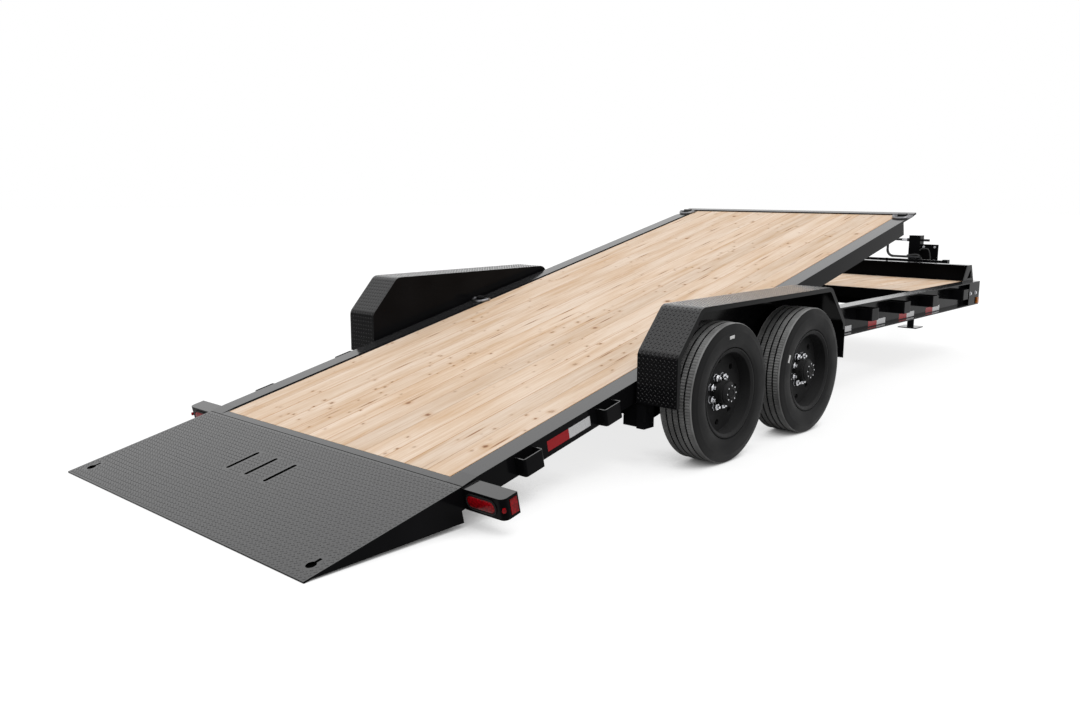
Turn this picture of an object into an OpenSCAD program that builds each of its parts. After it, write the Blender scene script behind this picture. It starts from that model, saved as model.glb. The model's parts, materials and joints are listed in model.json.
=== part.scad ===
// Tilt equipment trailer: a tandem-axle frame with a fixed front deck, and a long
// plank bed that tips on a pivot until its wedge tail lies on the ground.
// X points to the tow end, Y to the left, Z up. Ground is Z = 0.

/* [Wheels] */
// distance between the two axles
axle_spacing = 877; // [780:1:1000]
// tyre outer radius, also the height of the wheel centres
tyre_r = 368; // [340:1:400]
// tyre section width
tyre_w = 215; // [180:1:260]
// distance between the middle planes of left and right tyres
track_w = 2395; // [2250:5:2500]
// height of the tyre's wall from the rim's bead seat to the tread
tyre_wall_h = 146; // [120:1:170]
// height of the rim flange above the seat
rim_flange_h = 13; // [8:1:18]
// width of the rim over both flanges
rim_w = 195; // [160:1:220]
// thickness of the rim's plate
rim_t = 9; // [6:1:14]
// depth of the wheel disc behind the rim's outer edge
disc_recess = 78; // [50:1:110]
// radius of the hub barrel
hub_r = 58; // [45:1:75]
// radius of the circle of wheel studs
stud_circle_r = 82.55; // [70:0.05:105]
// number of wheel nuts on a wheel
nut_count = 8; // [6:1:10]
// radius of a hand hole in the disc
hand_hole_r = 17; // [10:1:24]
// distance of the hand holes' circle inside the bead seat
hand_in = 56; // [40:1:80]
// radius of the spindle in the hub
spindle_r = 28; // [22:1:34]
// room between the brake drum and the rim's bead seat
drum_gap = 57; // [40:1:80]

/* [Main frame] */
// height of the top of the frame rails
rail_top_z = 633; // [560:1:720]
// depth of the frame rails
rail_h = 200; // [150:1:260]
// flange width of the frame rails
rail_flange_w = 100; // [70:1:140]
// flange thickness of the frame rails
rail_flange_t = 9; // [6:1:14]
// web thickness of the frame rails
rail_web_t = 8; // [5:1:12]
// gap between the frame rails and the tyres
tyre_gap = 51; // [44:1:70]
// front end of the frame rails
frame_front_x = 4095; // [3800:5:4400]
// rear end of the frame rails
frame_rear_x = -880; // [-1000:5:-760]
// depth of the tapered rear stretch of the rails
rail_rear_h = 115; // [90:1:150]
// depth of a frame cross channel
cross_h = 100; // [70:1:130]
// depth of the low cross channels under the tilt cylinder
cross_low_h = 60; // [40:1:64]
// flange width of a cross channel
cross_w = 50; // [35:1:70]
// plate thickness of the cross channels
cross_t = 6; // [4:1:10]

/* [Tilt bed] */
// pivot position ahead of the middle of the axles
pivot_x = 440; // [380:1:520]
// pivot height
pivot_z = 588; // [560:1:600]
// radius of the pivot pins
pivot_pin_r = 30; // [22:1:36]
// how far the bed's sides stand inside the frame rails
bed_inset = 29; // [27:1:40]
// depth of the bed's side beams
bed_h = 102; // [90:1:120]
// height of the bed's top above the pivot
bed_top_n = 153; // [150:1:165]
// gap between the bed's underside and the rails
bed_gap = 6; // [5:0.5:8]
// width of the top flange of a side beam
beam_flange_w = 116; // [90:1:140]
// width of the bottom flange of a side beam
beam_low_w = 60; // [40:1:80]
// plate thickness of the side beams
beam_t = 8; // [5:1:12]
// distance from the pivot to the front end of the side beams
beam_front_s = 2032; // [2026:1:2150]
// distance from the pivot to the rear end of the side beams
beam_rear_s = 2563; // [2400:1:2700]
// thickness of the planks
plank_t = 38; // [30:1:48]
// number of planks across the bed
plank_count = 12; // [8:1:16]
// width of the seam between planks
seam_w = 2; // [1.5:0.5:6]
// depth of the seam between planks
seam_d = 6; // [3:0.5:12]
// distance from the pivot to the front end of the planks
plank_front_s = 2215; // [2120:1:2300]
// width of the steel band behind the planks
rear_band_w = 69; // [50:1:100]
// pitch of the bed's cross channels
bed_cross_pitch = 400; // [320:5:410]
// length of the overlap plate ahead of the planks
lip_reach = 54; // [40:1:90]
// thickness of the overlap plate
lip_t = 10; // [6:1:14]

/* [Tail] */
// distance from the pivot to the tail tip
tail_tip_s = 3340; // [3200:1:3450]
// thickness of the tread plate on the tail
tail_plate_t = 8; // [5:1:12]
// depth of the wedge's side plates at their front end
wedge_h = 150; // [120:1:155]
// thickness of the wedge's plates
wedge_t = 8; // [5:1:12]
// number of ribs under the tail
tail_rib_count = 6; // [4:1:9]
// length of the hand slots in the tail
slot_l = 180; // [120:1:220]
// width of the hand slots in the tail
slot_w = 22; // [16:1:40]
// pitch of the hand slots
slot_pitch = 157; // [120:1:220]
// distance of the slots' middle from the tail's front edge
slot_in = 268; // [200:1:400]
// radius of the keyholes for chains
keyhole_r = 22; // [16:1:30]
// width of the keyhole's neck
keyhole_neck = 16; // [10:1:24]
// length of the keyhole's neck
keyhole_l = 48; // [36:1:80]

/* [Fenders] */
// height of the fender's top above the tyres
fender_rise = 98; // [70:1:140]
// room between the tyres and the fender's upright ends
fender_gap = 101.5; // [70:0.5:140]
// length of the fender's sloped panels along the trailer
fender_slope_l = 203; // [150:1:240]
// outer radius of the fender's bends
fender_bend_r = 62; // [40:1:90]
// height where the sloped panels meet the upright ends
fender_knee_z = 611; // [560:1:700]
// height of the fender's lower front end
fender_low_z = 384; // [330:1:450]
// how far the fender's rear end hangs below its front end
fender_rear_drop = 28; // [0:1:40]
// how far the tyres stand out of the fender
fender_short = 26; // [10:1:40]
// plate thickness of the fender
fender_t = 4; // [3:0.5:8]
// height of the fender's folded outer edge
fender_lip = 26; // [16:1:40]

/* [Front deck] */
// rear end of the front deck's planks
front_deck_rear_x = 2800; // [2760:5:2900]
// front end of the front deck's planks
front_deck_front_x = 3972; // [3860:1:3985]
// height of the front rail above the deck
bulkhead_h = 141; // [100:1:180]
// length of the feet of the front rail's end plates
bulkhead_w = 253; // [200:1:260]
// how far the front rail ends inside the frame's side
bulkhead_in = 54; // [20:1:90]

/* [Tongue] */
// front end of the coupler
nose_x = 5800; // [5700:5:6000]
// half distance of the tongue beams at the frame
tongue_root_y = 620; // [480:5:760]
// depth of the tongue beams
tongue_h = 152; // [120:1:190]
// width of the tongue beams
tongue_w = 54; // [40:1:70]
// plate thickness of the tongue beams
tongue_t = 8; // [5:1:12]
// radius of the ball socket in the coupler
ball_r = 29.6; // [24:0.1:38]
// position of the jack
jack_x = 5310; // [5200:5:5340]
// height of the jack's top
jack_top_z = 956; // [880:1:1020]
// radius of the jack's tube
jack_r = 42; // [34:1:52]

/* [Tilt cylinder] */
// position of the cylinder's foot pin
cyl_foot_x = 1330; // [1320:1:1360]
// height of the cylinder's foot pin
cyl_foot_z = 520; // [500:1:530]
// distance from the pivot to the rod's lug on the bed
cyl_lug_s = 2000; // [1990:1:2010]
// radius of the cylinder barrel
barrel_r = 38; // [30:1:44]
// radius of the cylinder rod
rod_r = 20; // [15:1:24]
// length of the barrel from the foot pin
barrel_l = 860; // [780:1:900]

/* [Fittings] */
// length of a stake pocket
pocket_l = 126; // [100:1:150]
// how far a stake pocket stands out
pocket_out = 60; // [45:1:70]
// height of a stake pocket
pocket_h = 84; // [60:1:100]
// plate thickness of a stake pocket
pocket_t = 6; // [4:1:9]
// width of a tail lamp box
lamp_box_w = 234; // [190:1:260]
// height of a tail lamp box
lamp_box_h = 97; // [80:1:110]
// radius of the rounded corner of a tail lamp box
lamp_box_r = 28; // [20:1:40]
// inner radius of a tie-down ring
ring_r = 64; // [40:1:68]
// radius of a tie-down ring's bar
ring_bar_r = 10; // [6:1:12]

/* [Hidden] */
$fn = 48;
black = [0.05, 0.05, 0.055];
satin = [0.09, 0.09, 0.095];
steel = [0.62, 0.63, 0.65];
pine = [0.86, 0.76, 0.62];
rubber = [0.07, 0.07, 0.075];
red = [0.62, 0.03, 0.05];
amber = [0.95, 0.45, 0.05];

over = 2;
run_fit = 0.05;
pass_gap = 5;
touch = 0.3;

tip_n = bed_top_n - tail_plate_t;
tilt = asin(pivot_z / sqrt(tail_tip_s * tail_tip_s + tip_n * tip_n)) + atan(tip_n / tail_tip_s);
tail_x = pivot_x - tail_tip_s * cos(tilt) - bed_top_n * sin(tilt);
x_mid = (nose_x + tail_x) / 2;

bed_low_n = bed_top_n - bed_h;
bed_half = track_w / 2 - tyre_w / 2 - tyre_gap - bed_inset;
beam_in = bed_half - beam_flange_w;
plank_half = beam_in - pass_gap;
plank_low_n = bed_top_n - plank_t;
cross_low_n = bed_low_n + beam_t;
plank_rear_s = beam_rear_s - rear_band_w;

rail_out = track_w / 2 - tyre_w / 2 - tyre_gap;
rail_in = rail_out - rail_flange_w;
rail_mid = rail_out - rail_flange_w / 2;
rail_web_in = rail_mid - rail_web_t / 2;
rail_low_z = rail_top_z - rail_h;
knee_x = pivot_x + (rail_top_z - pivot_z - (bed_low_n - bed_gap) / cos(tilt)) / tan(tilt);
knee_low_x = knee_x - (rail_h - rail_rear_h) / tan(tilt);
function rail_slope(x) = rail_top_z + (x - knee_x) * tan(tilt);
function rail_top(x) = x > knee_x ? rail_top_z : rail_slope(x);
function rail_low(x) = x > knee_low_x ? rail_low_z : rail_slope(x) - rail_rear_h;

wheel_y = track_w / 2;
rim_seat_r = tyre_r - tyre_wall_h;
hand_circle_r = rim_seat_r - hand_in;
drum_r = rim_seat_r - drum_gap;
front_axle_x = axle_spacing / 2;
rim_out = wheel_y + rim_w / 2;
disc_out = rim_out - disc_recess;
tyre_out = wheel_y + tyre_w / 2;

module in_frame() translate([-x_mid, 0, 0]) children();
module on_bed() translate([pivot_x - x_mid, 0, pivot_z]) rotate([0, -tilt, 0]) children();
module both() {
    children();
    mirror([0, 1, 0]) children();
}
module slab(x0, x1, y0, y1, z0, z1) translate([x0, y0, z0]) cube([x1 - x0, y1 - y0, z1 - z0]);
module side_plate(points, y0, y1) translate([0, y1, 0]) rotate([90, 0, 0]) linear_extrude(y1 - y0) polygon(points);
module y_rod(x, z, y0, y1, r) translate([x, y0, z]) rotate([-90, 0, 0]) cylinder(h = y1 - y0, r = r);
module x_rod(x0, x1, y, z, r) translate([x0, y, z]) rotate([0, 90, 0]) cylinder(h = x1 - x0, r = r);
module z_rod(x, y, z0, z1, r) translate([x, y, z0]) cylinder(h = z1 - z0, r = r);

// frame rails, tapered behind the pivot so the tipped bed lies along them, with closed rear ends
rail_end_t = 8;
module rail_side() {
    side_plate([[frame_rear_x, rail_low(frame_rear_x)], [knee_low_x, rail_low_z],
        [frame_front_x, rail_low_z], [frame_front_x, rail_top_z],
        [knee_x, rail_top_z], [frame_rear_x, rail_top(frame_rear_x)]],
        rail_web_in, rail_web_in + rail_web_t);
    side_plate([[frame_rear_x, rail_top(frame_rear_x)], [knee_x, rail_top_z], [frame_front_x, rail_top_z],
        [frame_front_x, rail_top_z - rail_flange_t], [knee_x, rail_top_z - rail_flange_t],
        [frame_rear_x, rail_top(frame_rear_x) - rail_flange_t]], rail_in, rail_out);
    side_plate([[frame_rear_x, rail_low(frame_rear_x)], [knee_low_x, rail_low_z], [frame_front_x, rail_low_z],
        [frame_front_x, rail_low_z + rail_flange_t], [knee_low_x, rail_low_z + rail_flange_t],
        [frame_rear_x, rail_low(frame_rear_x) + rail_flange_t]], rail_in, rail_out);
    side_plate(concat([for (x = [frame_rear_x, frame_rear_x + rail_end_t]) [x, rail_low(x)]],
        [for (x = [frame_rear_x + rail_end_t, frame_rear_x]) [x, rail_top(x)]]), rail_in, rail_out);
}
module rail_left() color(black) in_frame() rail_side();
module rail_right() color(black) in_frame() mirror([0, 1, 0]) rail_side();

// a cross channel, open to the rear, with its top at z1
module channel(x, z0, z1, half) {
    slab(x - cross_t, x, -half, half, z0, z1);
    slab(x - cross_w, x, -half, half, z0, z0 + cross_t);
    slab(x - cross_w, x, -half, half, z1 - cross_t, z1);
}

front_deck_low_z = rail_top_z - plank_t;
deck_cross_shares = [0.02, 0.34, 0.67, 0.985];
rear_cross_shares = [0.06, 0.5];
open_cross_shares = [0.27, 0.62];
function deck_x(share) = front_deck_rear_x + share * (front_deck_front_x - front_deck_rear_x);
function rear_x(share) = frame_rear_x + share * (knee_x - frame_rear_x);
rail_flange_z = rail_low_z + rail_flange_t;
pivot_beam_w = 100;
pivot_beam_z = rail_low_z + cross_h;
cyl_beam_w = 80;
cyl_beam_x = cyl_foot_x - pivot_pin_r - pass_gap * 3;
module frame_crossmembers() color(black) in_frame() {
    for (share = deck_cross_shares)
        channel(deck_x(share) + cross_w / 2, front_deck_low_z - cross_h, front_deck_low_z, rail_web_in);
    for (share = rear_cross_shares)
        channel(rear_x(share) + cross_w, rail_slope(rear_x(share)) - cross_h,
            rail_slope(rear_x(share)) - bed_gap, rail_in);
    for (share = open_cross_shares)
        channel(cyl_foot_x + share * (front_deck_rear_x - cyl_foot_x), rail_flange_z,
            rail_low_z + cross_low_h, rail_web_in);
    slab(pivot_x - pivot_beam_w / 2, pivot_x + pivot_beam_w / 2, -rail_web_in, rail_web_in,
        rail_flange_z, pivot_beam_z);
    slab(cyl_beam_x - cyl_beam_w, cyl_beam_x, -rail_web_in, rail_web_in, rail_flange_z, pivot_beam_z);
}

// lugs and pins that carry the bed
lug_in = 81;
lug_y = rail_in - lug_in;
lug_t = 16;
ear_t = 20;
lug_r = 45;
ear_y = lug_y + lug_t / 2 + pass_gap + ear_t / 2;
lug_out_y = ear_y + ear_t / 2 + pass_gap + lug_t / 2;
module frame_lug(y) {
    y_rod(pivot_x, pivot_z, y - lug_t / 2, y + lug_t / 2, lug_r);
    slab(pivot_x - lug_r, pivot_x + lug_r, y - lug_t / 2, y + lug_t / 2, pivot_beam_z, pivot_z);
}
module pivot_brackets() color(black) in_frame() both() {
    frame_lug(lug_y);
    frame_lug(lug_out_y);
    y_rod(pivot_x, pivot_z, lug_y - lug_t, lug_out_y + lug_t, pivot_pin_r);
}

// foot bracket of the tilt cylinder
cyl_pin_r = 20;
cyl_eye_t = 30;
cyl_ear_t = 12;
cyl_ear_r = 36;
cyl_ear_y = cyl_eye_t / 2 + pass_gap;
module cylinder_foot() color(black) in_frame() {
    both() {
        y_rod(cyl_foot_x, cyl_foot_z, cyl_ear_y, cyl_ear_y + cyl_ear_t, cyl_ear_r);
        slab(cyl_beam_x, cyl_foot_x, cyl_ear_y, cyl_ear_y + cyl_ear_t,
            pivot_beam_z - cross_h / 2, cyl_foot_z + cyl_ear_r);
    }
    y_rod(cyl_foot_x, cyl_foot_z, -cyl_ear_y - cyl_ear_t * 2, cyl_ear_y + cyl_ear_t * 2, cyl_pin_r);
}

// front header, closing the rails' ends
header_w = 60;
header_t = 9;
module front_header() color(black) in_frame() {
    slab(frame_front_x, frame_front_x + header_t, -rail_out, rail_out, rail_low_z, rail_top_z);
    slab(frame_front_x - header_w, frame_front_x, -rail_in, rail_in, rail_top_z - header_t, rail_top_z);
    slab(frame_front_x - header_w, frame_front_x, -rail_in, rail_in, rail_low_z, rail_low_z + header_t);
}

// plates that close the rails' sides at the front corners, with a marker on each
corner_l = 243;
corner_t = 6;
module corner_boxes() color(black) in_frame() both()
    slab(frame_front_x - corner_l, frame_front_x, rail_out - corner_t, rail_out,
        rail_flange_z, rail_top_z - rail_flange_t);
marker_w = 38;
marker_h = 54;
marker_t = 12;
marker_in = 22;
module amber_markers() color(amber) in_frame() both()
    slab(frame_front_x - marker_in - marker_w, frame_front_x - marker_in, rail_out, rail_out + marker_t,
        rail_flange_z, rail_flange_z + marker_h);

// front deck planks with seams
module plank_field(x0, x1, half, z0, z1, count) difference() {
    slab(x0, x1, -half, half, z0, z1);
    for (i = [1 : count - 1])
        slab(x0 - over, x1 + over, -half + i * 2 * half / count - seam_w / 2,
            -half + i * 2 * half / count + seam_w / 2, z1 - seam_d, z1 + over);
}
deck_edge_t = 6;
deck_edge_gap = 3;
module front_planks() color(pine) in_frame()
    plank_field(front_deck_rear_x, front_deck_front_x, rail_in - deck_edge_gap,
        front_deck_low_z, rail_top_z, plank_count);
deck_edge_w = 44;
module front_deck_edge() color(black) in_frame() {
    slab(front_deck_rear_x - deck_edge_gap - deck_edge_t, front_deck_rear_x - deck_edge_gap,
        -rail_in, rail_in, front_deck_low_z - deck_edge_w, rail_top_z);
    slab(front_deck_front_x + deck_edge_gap, frame_front_x - header_w, -rail_in, rail_in,
        rail_top_z - deck_edge_t, rail_top_z);
}

// front rail, a channel open to the rear between two end plates with three-sided openings
bulkhead_t = 8;
bulkhead_top_shares = [0.372, 0.739];
bulkhead_open_shares = [[0.36, 0.2], [0.82, 0.2], [0.66, 0.72]];
bulkhead_half = rail_out - bulkhead_in;
bulkhead_foot_x = frame_front_x - bulkhead_w;
bulkhead_rear_x = bulkhead_foot_x + bulkhead_top_shares[0] * bulkhead_w;
bulkhead_web_x = bulkhead_foot_x + bulkhead_top_shares[1] * bulkhead_w;
bulkhead_top_z = rail_top_z + bulkhead_h;
module bulkhead_end() difference() {
    polygon([[0, 0], [bulkhead_w, 0], [bulkhead_top_shares[1] * bulkhead_w, bulkhead_h],
        [bulkhead_top_shares[0] * bulkhead_w, bulkhead_h]]);
    polygon([for (p = bulkhead_open_shares) [p[0] * bulkhead_w, p[1] * bulkhead_h]]);
}
module bulkhead_rail() color(black) in_frame() {
    slab(bulkhead_web_x - bulkhead_t, bulkhead_web_x, -bulkhead_half, bulkhead_half, rail_top_z, bulkhead_top_z);
    slab(bulkhead_rear_x, bulkhead_web_x, -bulkhead_half, bulkhead_half,
        bulkhead_top_z - bulkhead_t, bulkhead_top_z);
    both() translate([bulkhead_foot_x, bulkhead_half, rail_top_z]) rotate([90, 0, 0])
        linear_extrude(bulkhead_t) bulkhead_end();
}

// a stake pocket, standing on a face at y = 0 and reaching to +Y
module pocket(reach) difference() {
    union() {
        slab(-pocket_l / 2, pocket_l / 2, 0, reach - pocket_t * 2, -pocket_h, 0);
        slab(-pocket_l / 2 + pocket_t * 2, pocket_l / 2 - pocket_t * 2, 0, reach, -pocket_h, 0);
        for (x = [-pocket_l / 2 + pocket_t * 2, pocket_l / 2 - pocket_t * 2])
            z_rod(x, reach - pocket_t * 2, -pocket_h, 0, pocket_t * 2);
    }
    slab(-pocket_l / 2 + pocket_t, pocket_l / 2 - pocket_t, -over, reach - pocket_t,
        -pocket_h - over, over);
}
frame_pocket_shares = [0.3674, 0.5228, 0.6765, 0.8619];
frame_pocket_drop = 35;
function frame_pocket_x(share) = front_axle_x + (frame_front_x - front_axle_x) * share;
module frame_stake_pockets() color(black) in_frame() both()
    for (share = frame_pocket_shares)
        translate([frame_pocket_x(share), rail_web_in + rail_web_t, rail_top_z - frame_pocket_drop])
            pocket(rail_out + pocket_out - rail_web_in - rail_web_t);

// tongue: two channels that meet at the coupler
tongue_drop = 20;
tongue_top_z = rail_top_z - tongue_drop;
tongue_low_z = tongue_top_z - tongue_h;
coupler_l = 330;
tongue_end_x = nose_x - coupler_l;
tongue_end_y = tongue_w;
tongue_angle = atan((tongue_root_y - tongue_end_y) / (tongue_end_x - frame_front_x - header_t));
tongue_l = (tongue_end_x - frame_front_x - header_t) / cos(tongue_angle) + tongue_w;
module tongue_channel() {
    slab(0, tongue_l + tongue_w * 2, -tongue_t, 0, tongue_low_z, tongue_top_z);
    slab(0, tongue_l + tongue_w * 2, -tongue_w, 0, tongue_low_z, tongue_low_z + tongue_t);
    slab(0, tongue_l + tongue_w * 2, -tongue_w, 0, tongue_top_z - tongue_t, tongue_top_z);
}
module tongue_beams() color(black) in_frame() difference() {
    both() translate([frame_front_x + header_t, tongue_root_y, 0]) rotate([0, 0, -tongue_angle])
        translate([-tongue_w, 0, 0]) tongue_channel();
    slab(frame_front_x - tongue_l, frame_front_x + header_t, -rail_out, rail_out, -over, rail_top_z + over);
    slab(tongue_end_x, tongue_end_x + tongue_l, -rail_out, rail_out, -over, rail_top_z + over);
}
// coupler with a ball socket that opens downward
coupler_w = 92;
coupler_t = 10;
socket_wall = 11;
socket_x = nose_x - ball_r - socket_wall;
socket_low_z = tongue_low_z + tongue_h / 3;
socket_h = 62;
module coupler() color(black) in_frame() difference() {
    union() {
        slab(tongue_end_x, tongue_end_x + coupler_t, -tongue_w - coupler_t, tongue_w + coupler_t,
            tongue_low_z, tongue_top_z);
        slab(tongue_end_x + coupler_t, socket_x - ball_r, -coupler_w / 2, coupler_w / 2,
            socket_low_z + socket_h / 3, socket_low_z + socket_h + socket_wall);
        z_rod(socket_x, 0, socket_low_z, socket_low_z + socket_h + socket_wall, ball_r + socket_wall);
        slab(socket_x - ball_r - socket_wall, socket_x, -ball_r - socket_wall, ball_r + socket_wall,
            socket_low_z + socket_h / 3, socket_low_z + socket_h + socket_wall);
    }
    z_rod(socket_x, 0, socket_low_z - over, socket_low_z + socket_h, ball_r);
}

// jack on the tongue
jack_leg_r = 34;
jack_foot_w = 190;
jack_foot_t = 10;
jack_plate_t = 12;
jack_plate_l = 200;
jack_tube_low_z = tongue_low_z - tongue_h;
jack_post_w = 116;
jack_post_d = 96;
jack_post_z = tongue_top_z + jack_plate_t;
jack_half_w = tongue_end_y + (tongue_end_x - jack_x) * tan(tongue_angle);
module jack_mount() color(black) in_frame() difference() {
    slab(jack_x - jack_plate_l / 2, jack_x + jack_plate_l / 2, -jack_half_w, jack_half_w,
        tongue_top_z, jack_post_z);
    z_rod(jack_x, 0, tongue_top_z - over, jack_post_z + over, jack_r);
}
module jack_tube() color(black) in_frame() {
    difference() {
        z_rod(jack_x, 0, jack_tube_low_z, jack_post_z, jack_r);
        z_rod(jack_x, 0, jack_tube_low_z - over, tongue_low_z, jack_leg_r);
    }
    slab(jack_x - jack_post_d / 2, jack_x + jack_post_d / 2, -jack_post_w / 2, jack_post_w / 2,
        jack_post_z, jack_top_z);
}
module jack_leg() color(satin) in_frame() {
    z_rod(jack_x, 0, jack_foot_t, tongue_low_z - tongue_w, jack_leg_r - touch);
    slab(jack_x - jack_foot_w / 2, jack_x + jack_foot_w / 2, -jack_foot_w / 2, jack_foot_w / 2, 0, jack_foot_t);
}
// crank: a shaft to the left, and a bent handle that hangs behind the post
crank_r = 12;
crank_shaft_r = 17;
crank_shaft_l = 90;
crank_z = jack_top_z - jack_post_d / 2;
crank_out = 262;
crank_stub_l = 75;
crank_back_x = jack_x - jack_post_d / 2 - 3 * crank_r;
crank_bend_r = 65;
crank_low_z = crank_z - 2.6 * crank_bend_r;
crank_grip_y = -84;
crank_boss_r = 15;
crank_bend_bar_r = 13;
module jack_crank() color(satin) in_frame() {
    y_rod(jack_x, crank_z, jack_post_w / 2, jack_post_w / 2 + crank_shaft_l, crank_shaft_r);
    y_rod(jack_x, crank_z, jack_post_w / 2 + crank_shaft_l - over, crank_out, crank_r);
    y_rod(jack_x, crank_z, -jack_post_w / 2 - crank_stub_l, -jack_post_w / 2, crank_r);
    x_rod(crank_back_x - crank_boss_r, jack_x + crank_boss_r, crank_out, crank_z, crank_boss_r);
    z_rod(crank_back_x, crank_out, crank_low_z + crank_bend_r - over, crank_z, crank_r);
    translate([crank_back_x, crank_out - crank_bend_r, crank_low_z + crank_bend_r]) rotate([90, 0, 90])
        rotate([0, 0, -90]) rotate_extrude(angle = 90) translate([crank_bend_r, 0]) circle(crank_bend_bar_r);
    y_rod(crank_back_x, crank_low_z, crank_grip_y, crank_out - crank_bend_r + over, crank_r);
}

// bar across the tongue, and the plate for the cylinder's valve beside the jack
bar_x = 4350;
bar_half = 665;
bar_h = 35;
bar_w = 40;
bar_z = 740;
bar_block = 46;
bar_block_over = 9;
function tongue_y(x) = tongue_root_y - (x - frame_front_x - header_t) * tan(tongue_angle) - tongue_w / 2;
module tongue_bar() color(black) in_frame() {
    slab(bar_x, bar_x + bar_w, -bar_half, bar_half, bar_z, bar_z + bar_h);
    both() {
        slab(bar_x, bar_x + bar_w, tongue_y(bar_x) - bar_w / 2, tongue_y(bar_x) + bar_w / 2, tongue_top_z, bar_z);
        slab(bar_x - bar_block_over, bar_x + bar_w + bar_block_over, bar_half - bar_block, bar_half,
            bar_z - bar_block_over, bar_z + bar_h + bar_block_over);
    }
}
valve_reach = 228;
valve_z = 672;
valve_h = 196;
valve_t = 8;
module valve_plate() color(black) in_frame()
    slab(jack_x - valve_t / 2, jack_x + valve_t / 2, -valve_reach, -jack_post_w / 2, valve_z, valve_z + valve_h);

// torsion axles
arm_l = 153;
arm_angle = 35;
tube_w = 90;
arm_gap = 3;
arm_y = rail_out + fender_t + arm_gap;
arm_t = 32;
arm_r = 44;
tube_dx = arm_l * cos(arm_angle);
tube_z = tyre_r - arm_l * sin(arm_angle);
backing_y = arm_y + arm_t;
backing_t = 10;
backing_edge = 7;
backing_r = drum_r - backing_edge;
drum_y = backing_y + backing_t + pass_gap + touch;
spindle_end = disc_out + hub_r / 2;
module axle(x) {
    slab(x + tube_dx - tube_w / 2, x + tube_dx + tube_w / 2, -arm_y, arm_y,
        tube_z - tube_w / 2, tube_z + tube_w / 2);
    both() {
        hull() {
            y_rod(x + tube_dx, tube_z, arm_y, arm_y + arm_t, arm_r);
            y_rod(x, tyre_r, arm_y, arm_y + arm_t, arm_r);
        }
        y_rod(x, tyre_r, backing_y, backing_y + backing_t, backing_r);
        y_rod(x, tyre_r, backing_y + backing_t, spindle_end, spindle_r);
    }
}
module axle_front() color(black) in_frame() axle(front_axle_x);
module axle_rear() color(black) in_frame() axle(-front_axle_x);
bracket_l = 150;
bracket_min = 4;
function bracket_top(x) = max(rail_low(x), tube_z + tube_w / 2 + bracket_min);
module axle_bracket(x) side_plate([[x - bracket_l / 2, tube_z + tube_w / 2], [x + bracket_l / 2, tube_z + tube_w / 2],
    [x + bracket_l / 2, bracket_top(x + bracket_l / 2)], [x - bracket_l / 2, bracket_top(x - bracket_l / 2)]],
    rail_in, rail_out);
module axle_brackets() color(black) in_frame() both()
    for (x = [front_axle_x, -front_axle_x]) axle_bracket(x + tube_dx);

// fenders with rounded bends
fender_w = tyre_gap + tyre_w - fender_short;
fender_l = axle_spacing + 2 * (tyre_r + fender_gap);
fender_top_l = fender_l - 2 * fender_slope_l;
fender_top_z = 2 * tyre_r + fender_rise;
bend_steps = 6;
function unit(v) = v / norm(v);
function turn(a) = (a + 540) % 360 - 180;
function bend(a, b, c, r) = let (u = unit(a - b), w = unit(c - b), half = acos(u * w) / 2,
    o = b + unit(u + w) * r / sin(half), p = b + u * r / tan(half) - o, q = b + w * r / tan(half) - o,
    from = atan2(p[1], p[0]), sweep = turn(atan2(q[1], q[0]) - from))
    [for (i = [0 : bend_steps]) o + r * [cos(from + sweep * i / bend_steps), sin(from + sweep * i / bend_steps)]];
function fender_half(d, low_z) = let (low = [fender_l / 2 - d, low_z], knee = [fender_l / 2 - d, fender_knee_z - d / 2],
    top = [fender_top_l / 2 - d / 2, fender_top_z - d])
    concat(bend([0, fender_top_z - d], top, knee, fender_bend_r - d), bend(top, knee, low, fender_bend_r - d), [low]);
fender_rear_z = fender_low_z - fender_rear_drop;
function fender_line(d) = let (rear = fender_half(d, fender_rear_z))
    concat([for (i = [len(rear) - 1 : -1 : 0]) [-rear[i][0], rear[i][1]]], fender_half(d, fender_low_z));
fender_wall_drop = 20;
fender_wall_low = 70;
fender_foot_l = 84;
fender_foot_w = tyre_gap - fender_t;
fender_foot_rise = 60;
module fender_side() {
    slab(-fender_l / 2 + fender_t, -fender_l / 2 + fender_t + fender_foot_l, rail_out, rail_out + fender_foot_w,
        rail_low(frame_rear_x), fender_rear_z + fender_foot_rise);
    difference() {
        side_plate(fender_line(0), rail_out, rail_out + fender_w);
        side_plate(fender_line(fender_t), rail_out + fender_t, rail_out + fender_w - fender_t);
        side_plate(fender_line(fender_lip), rail_out + fender_t, rail_out + fender_w + over);
        translate([0, 0, -over]) side_plate(fender_line(fender_t), rail_out + fender_t, rail_out + fender_w - fender_t);
        translate([0, 0, -over]) side_plate(fender_line(fender_lip), rail_out + fender_t, rail_out + fender_w + over);
        side_plate([[-fender_l / 2 + fender_t, fender_rear_z - over], [knee_x, fender_rear_z - over],
            [fender_l / 2 - fender_t, fender_rear_z - over],
            [fender_l / 2 - fender_t, rail_top_z - fender_wall_low], [knee_x, rail_top_z - fender_wall_low],
            [-fender_l / 2 + fender_t, rail_slope(-fender_l / 2) - fender_wall_drop]],
            rail_out - over, rail_out + fender_w + over);
        slab(-fender_l / 2 + fender_t, fender_l / 2 - fender_t, rail_out - over, rail_out + fender_t + over,
            fender_rear_z - over, fender_low_z);
    }
}
module fender_left() color(black) in_frame() fender_side();
module fender_right() color(black) in_frame() mirror([0, 1, 0]) fender_side();

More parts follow.
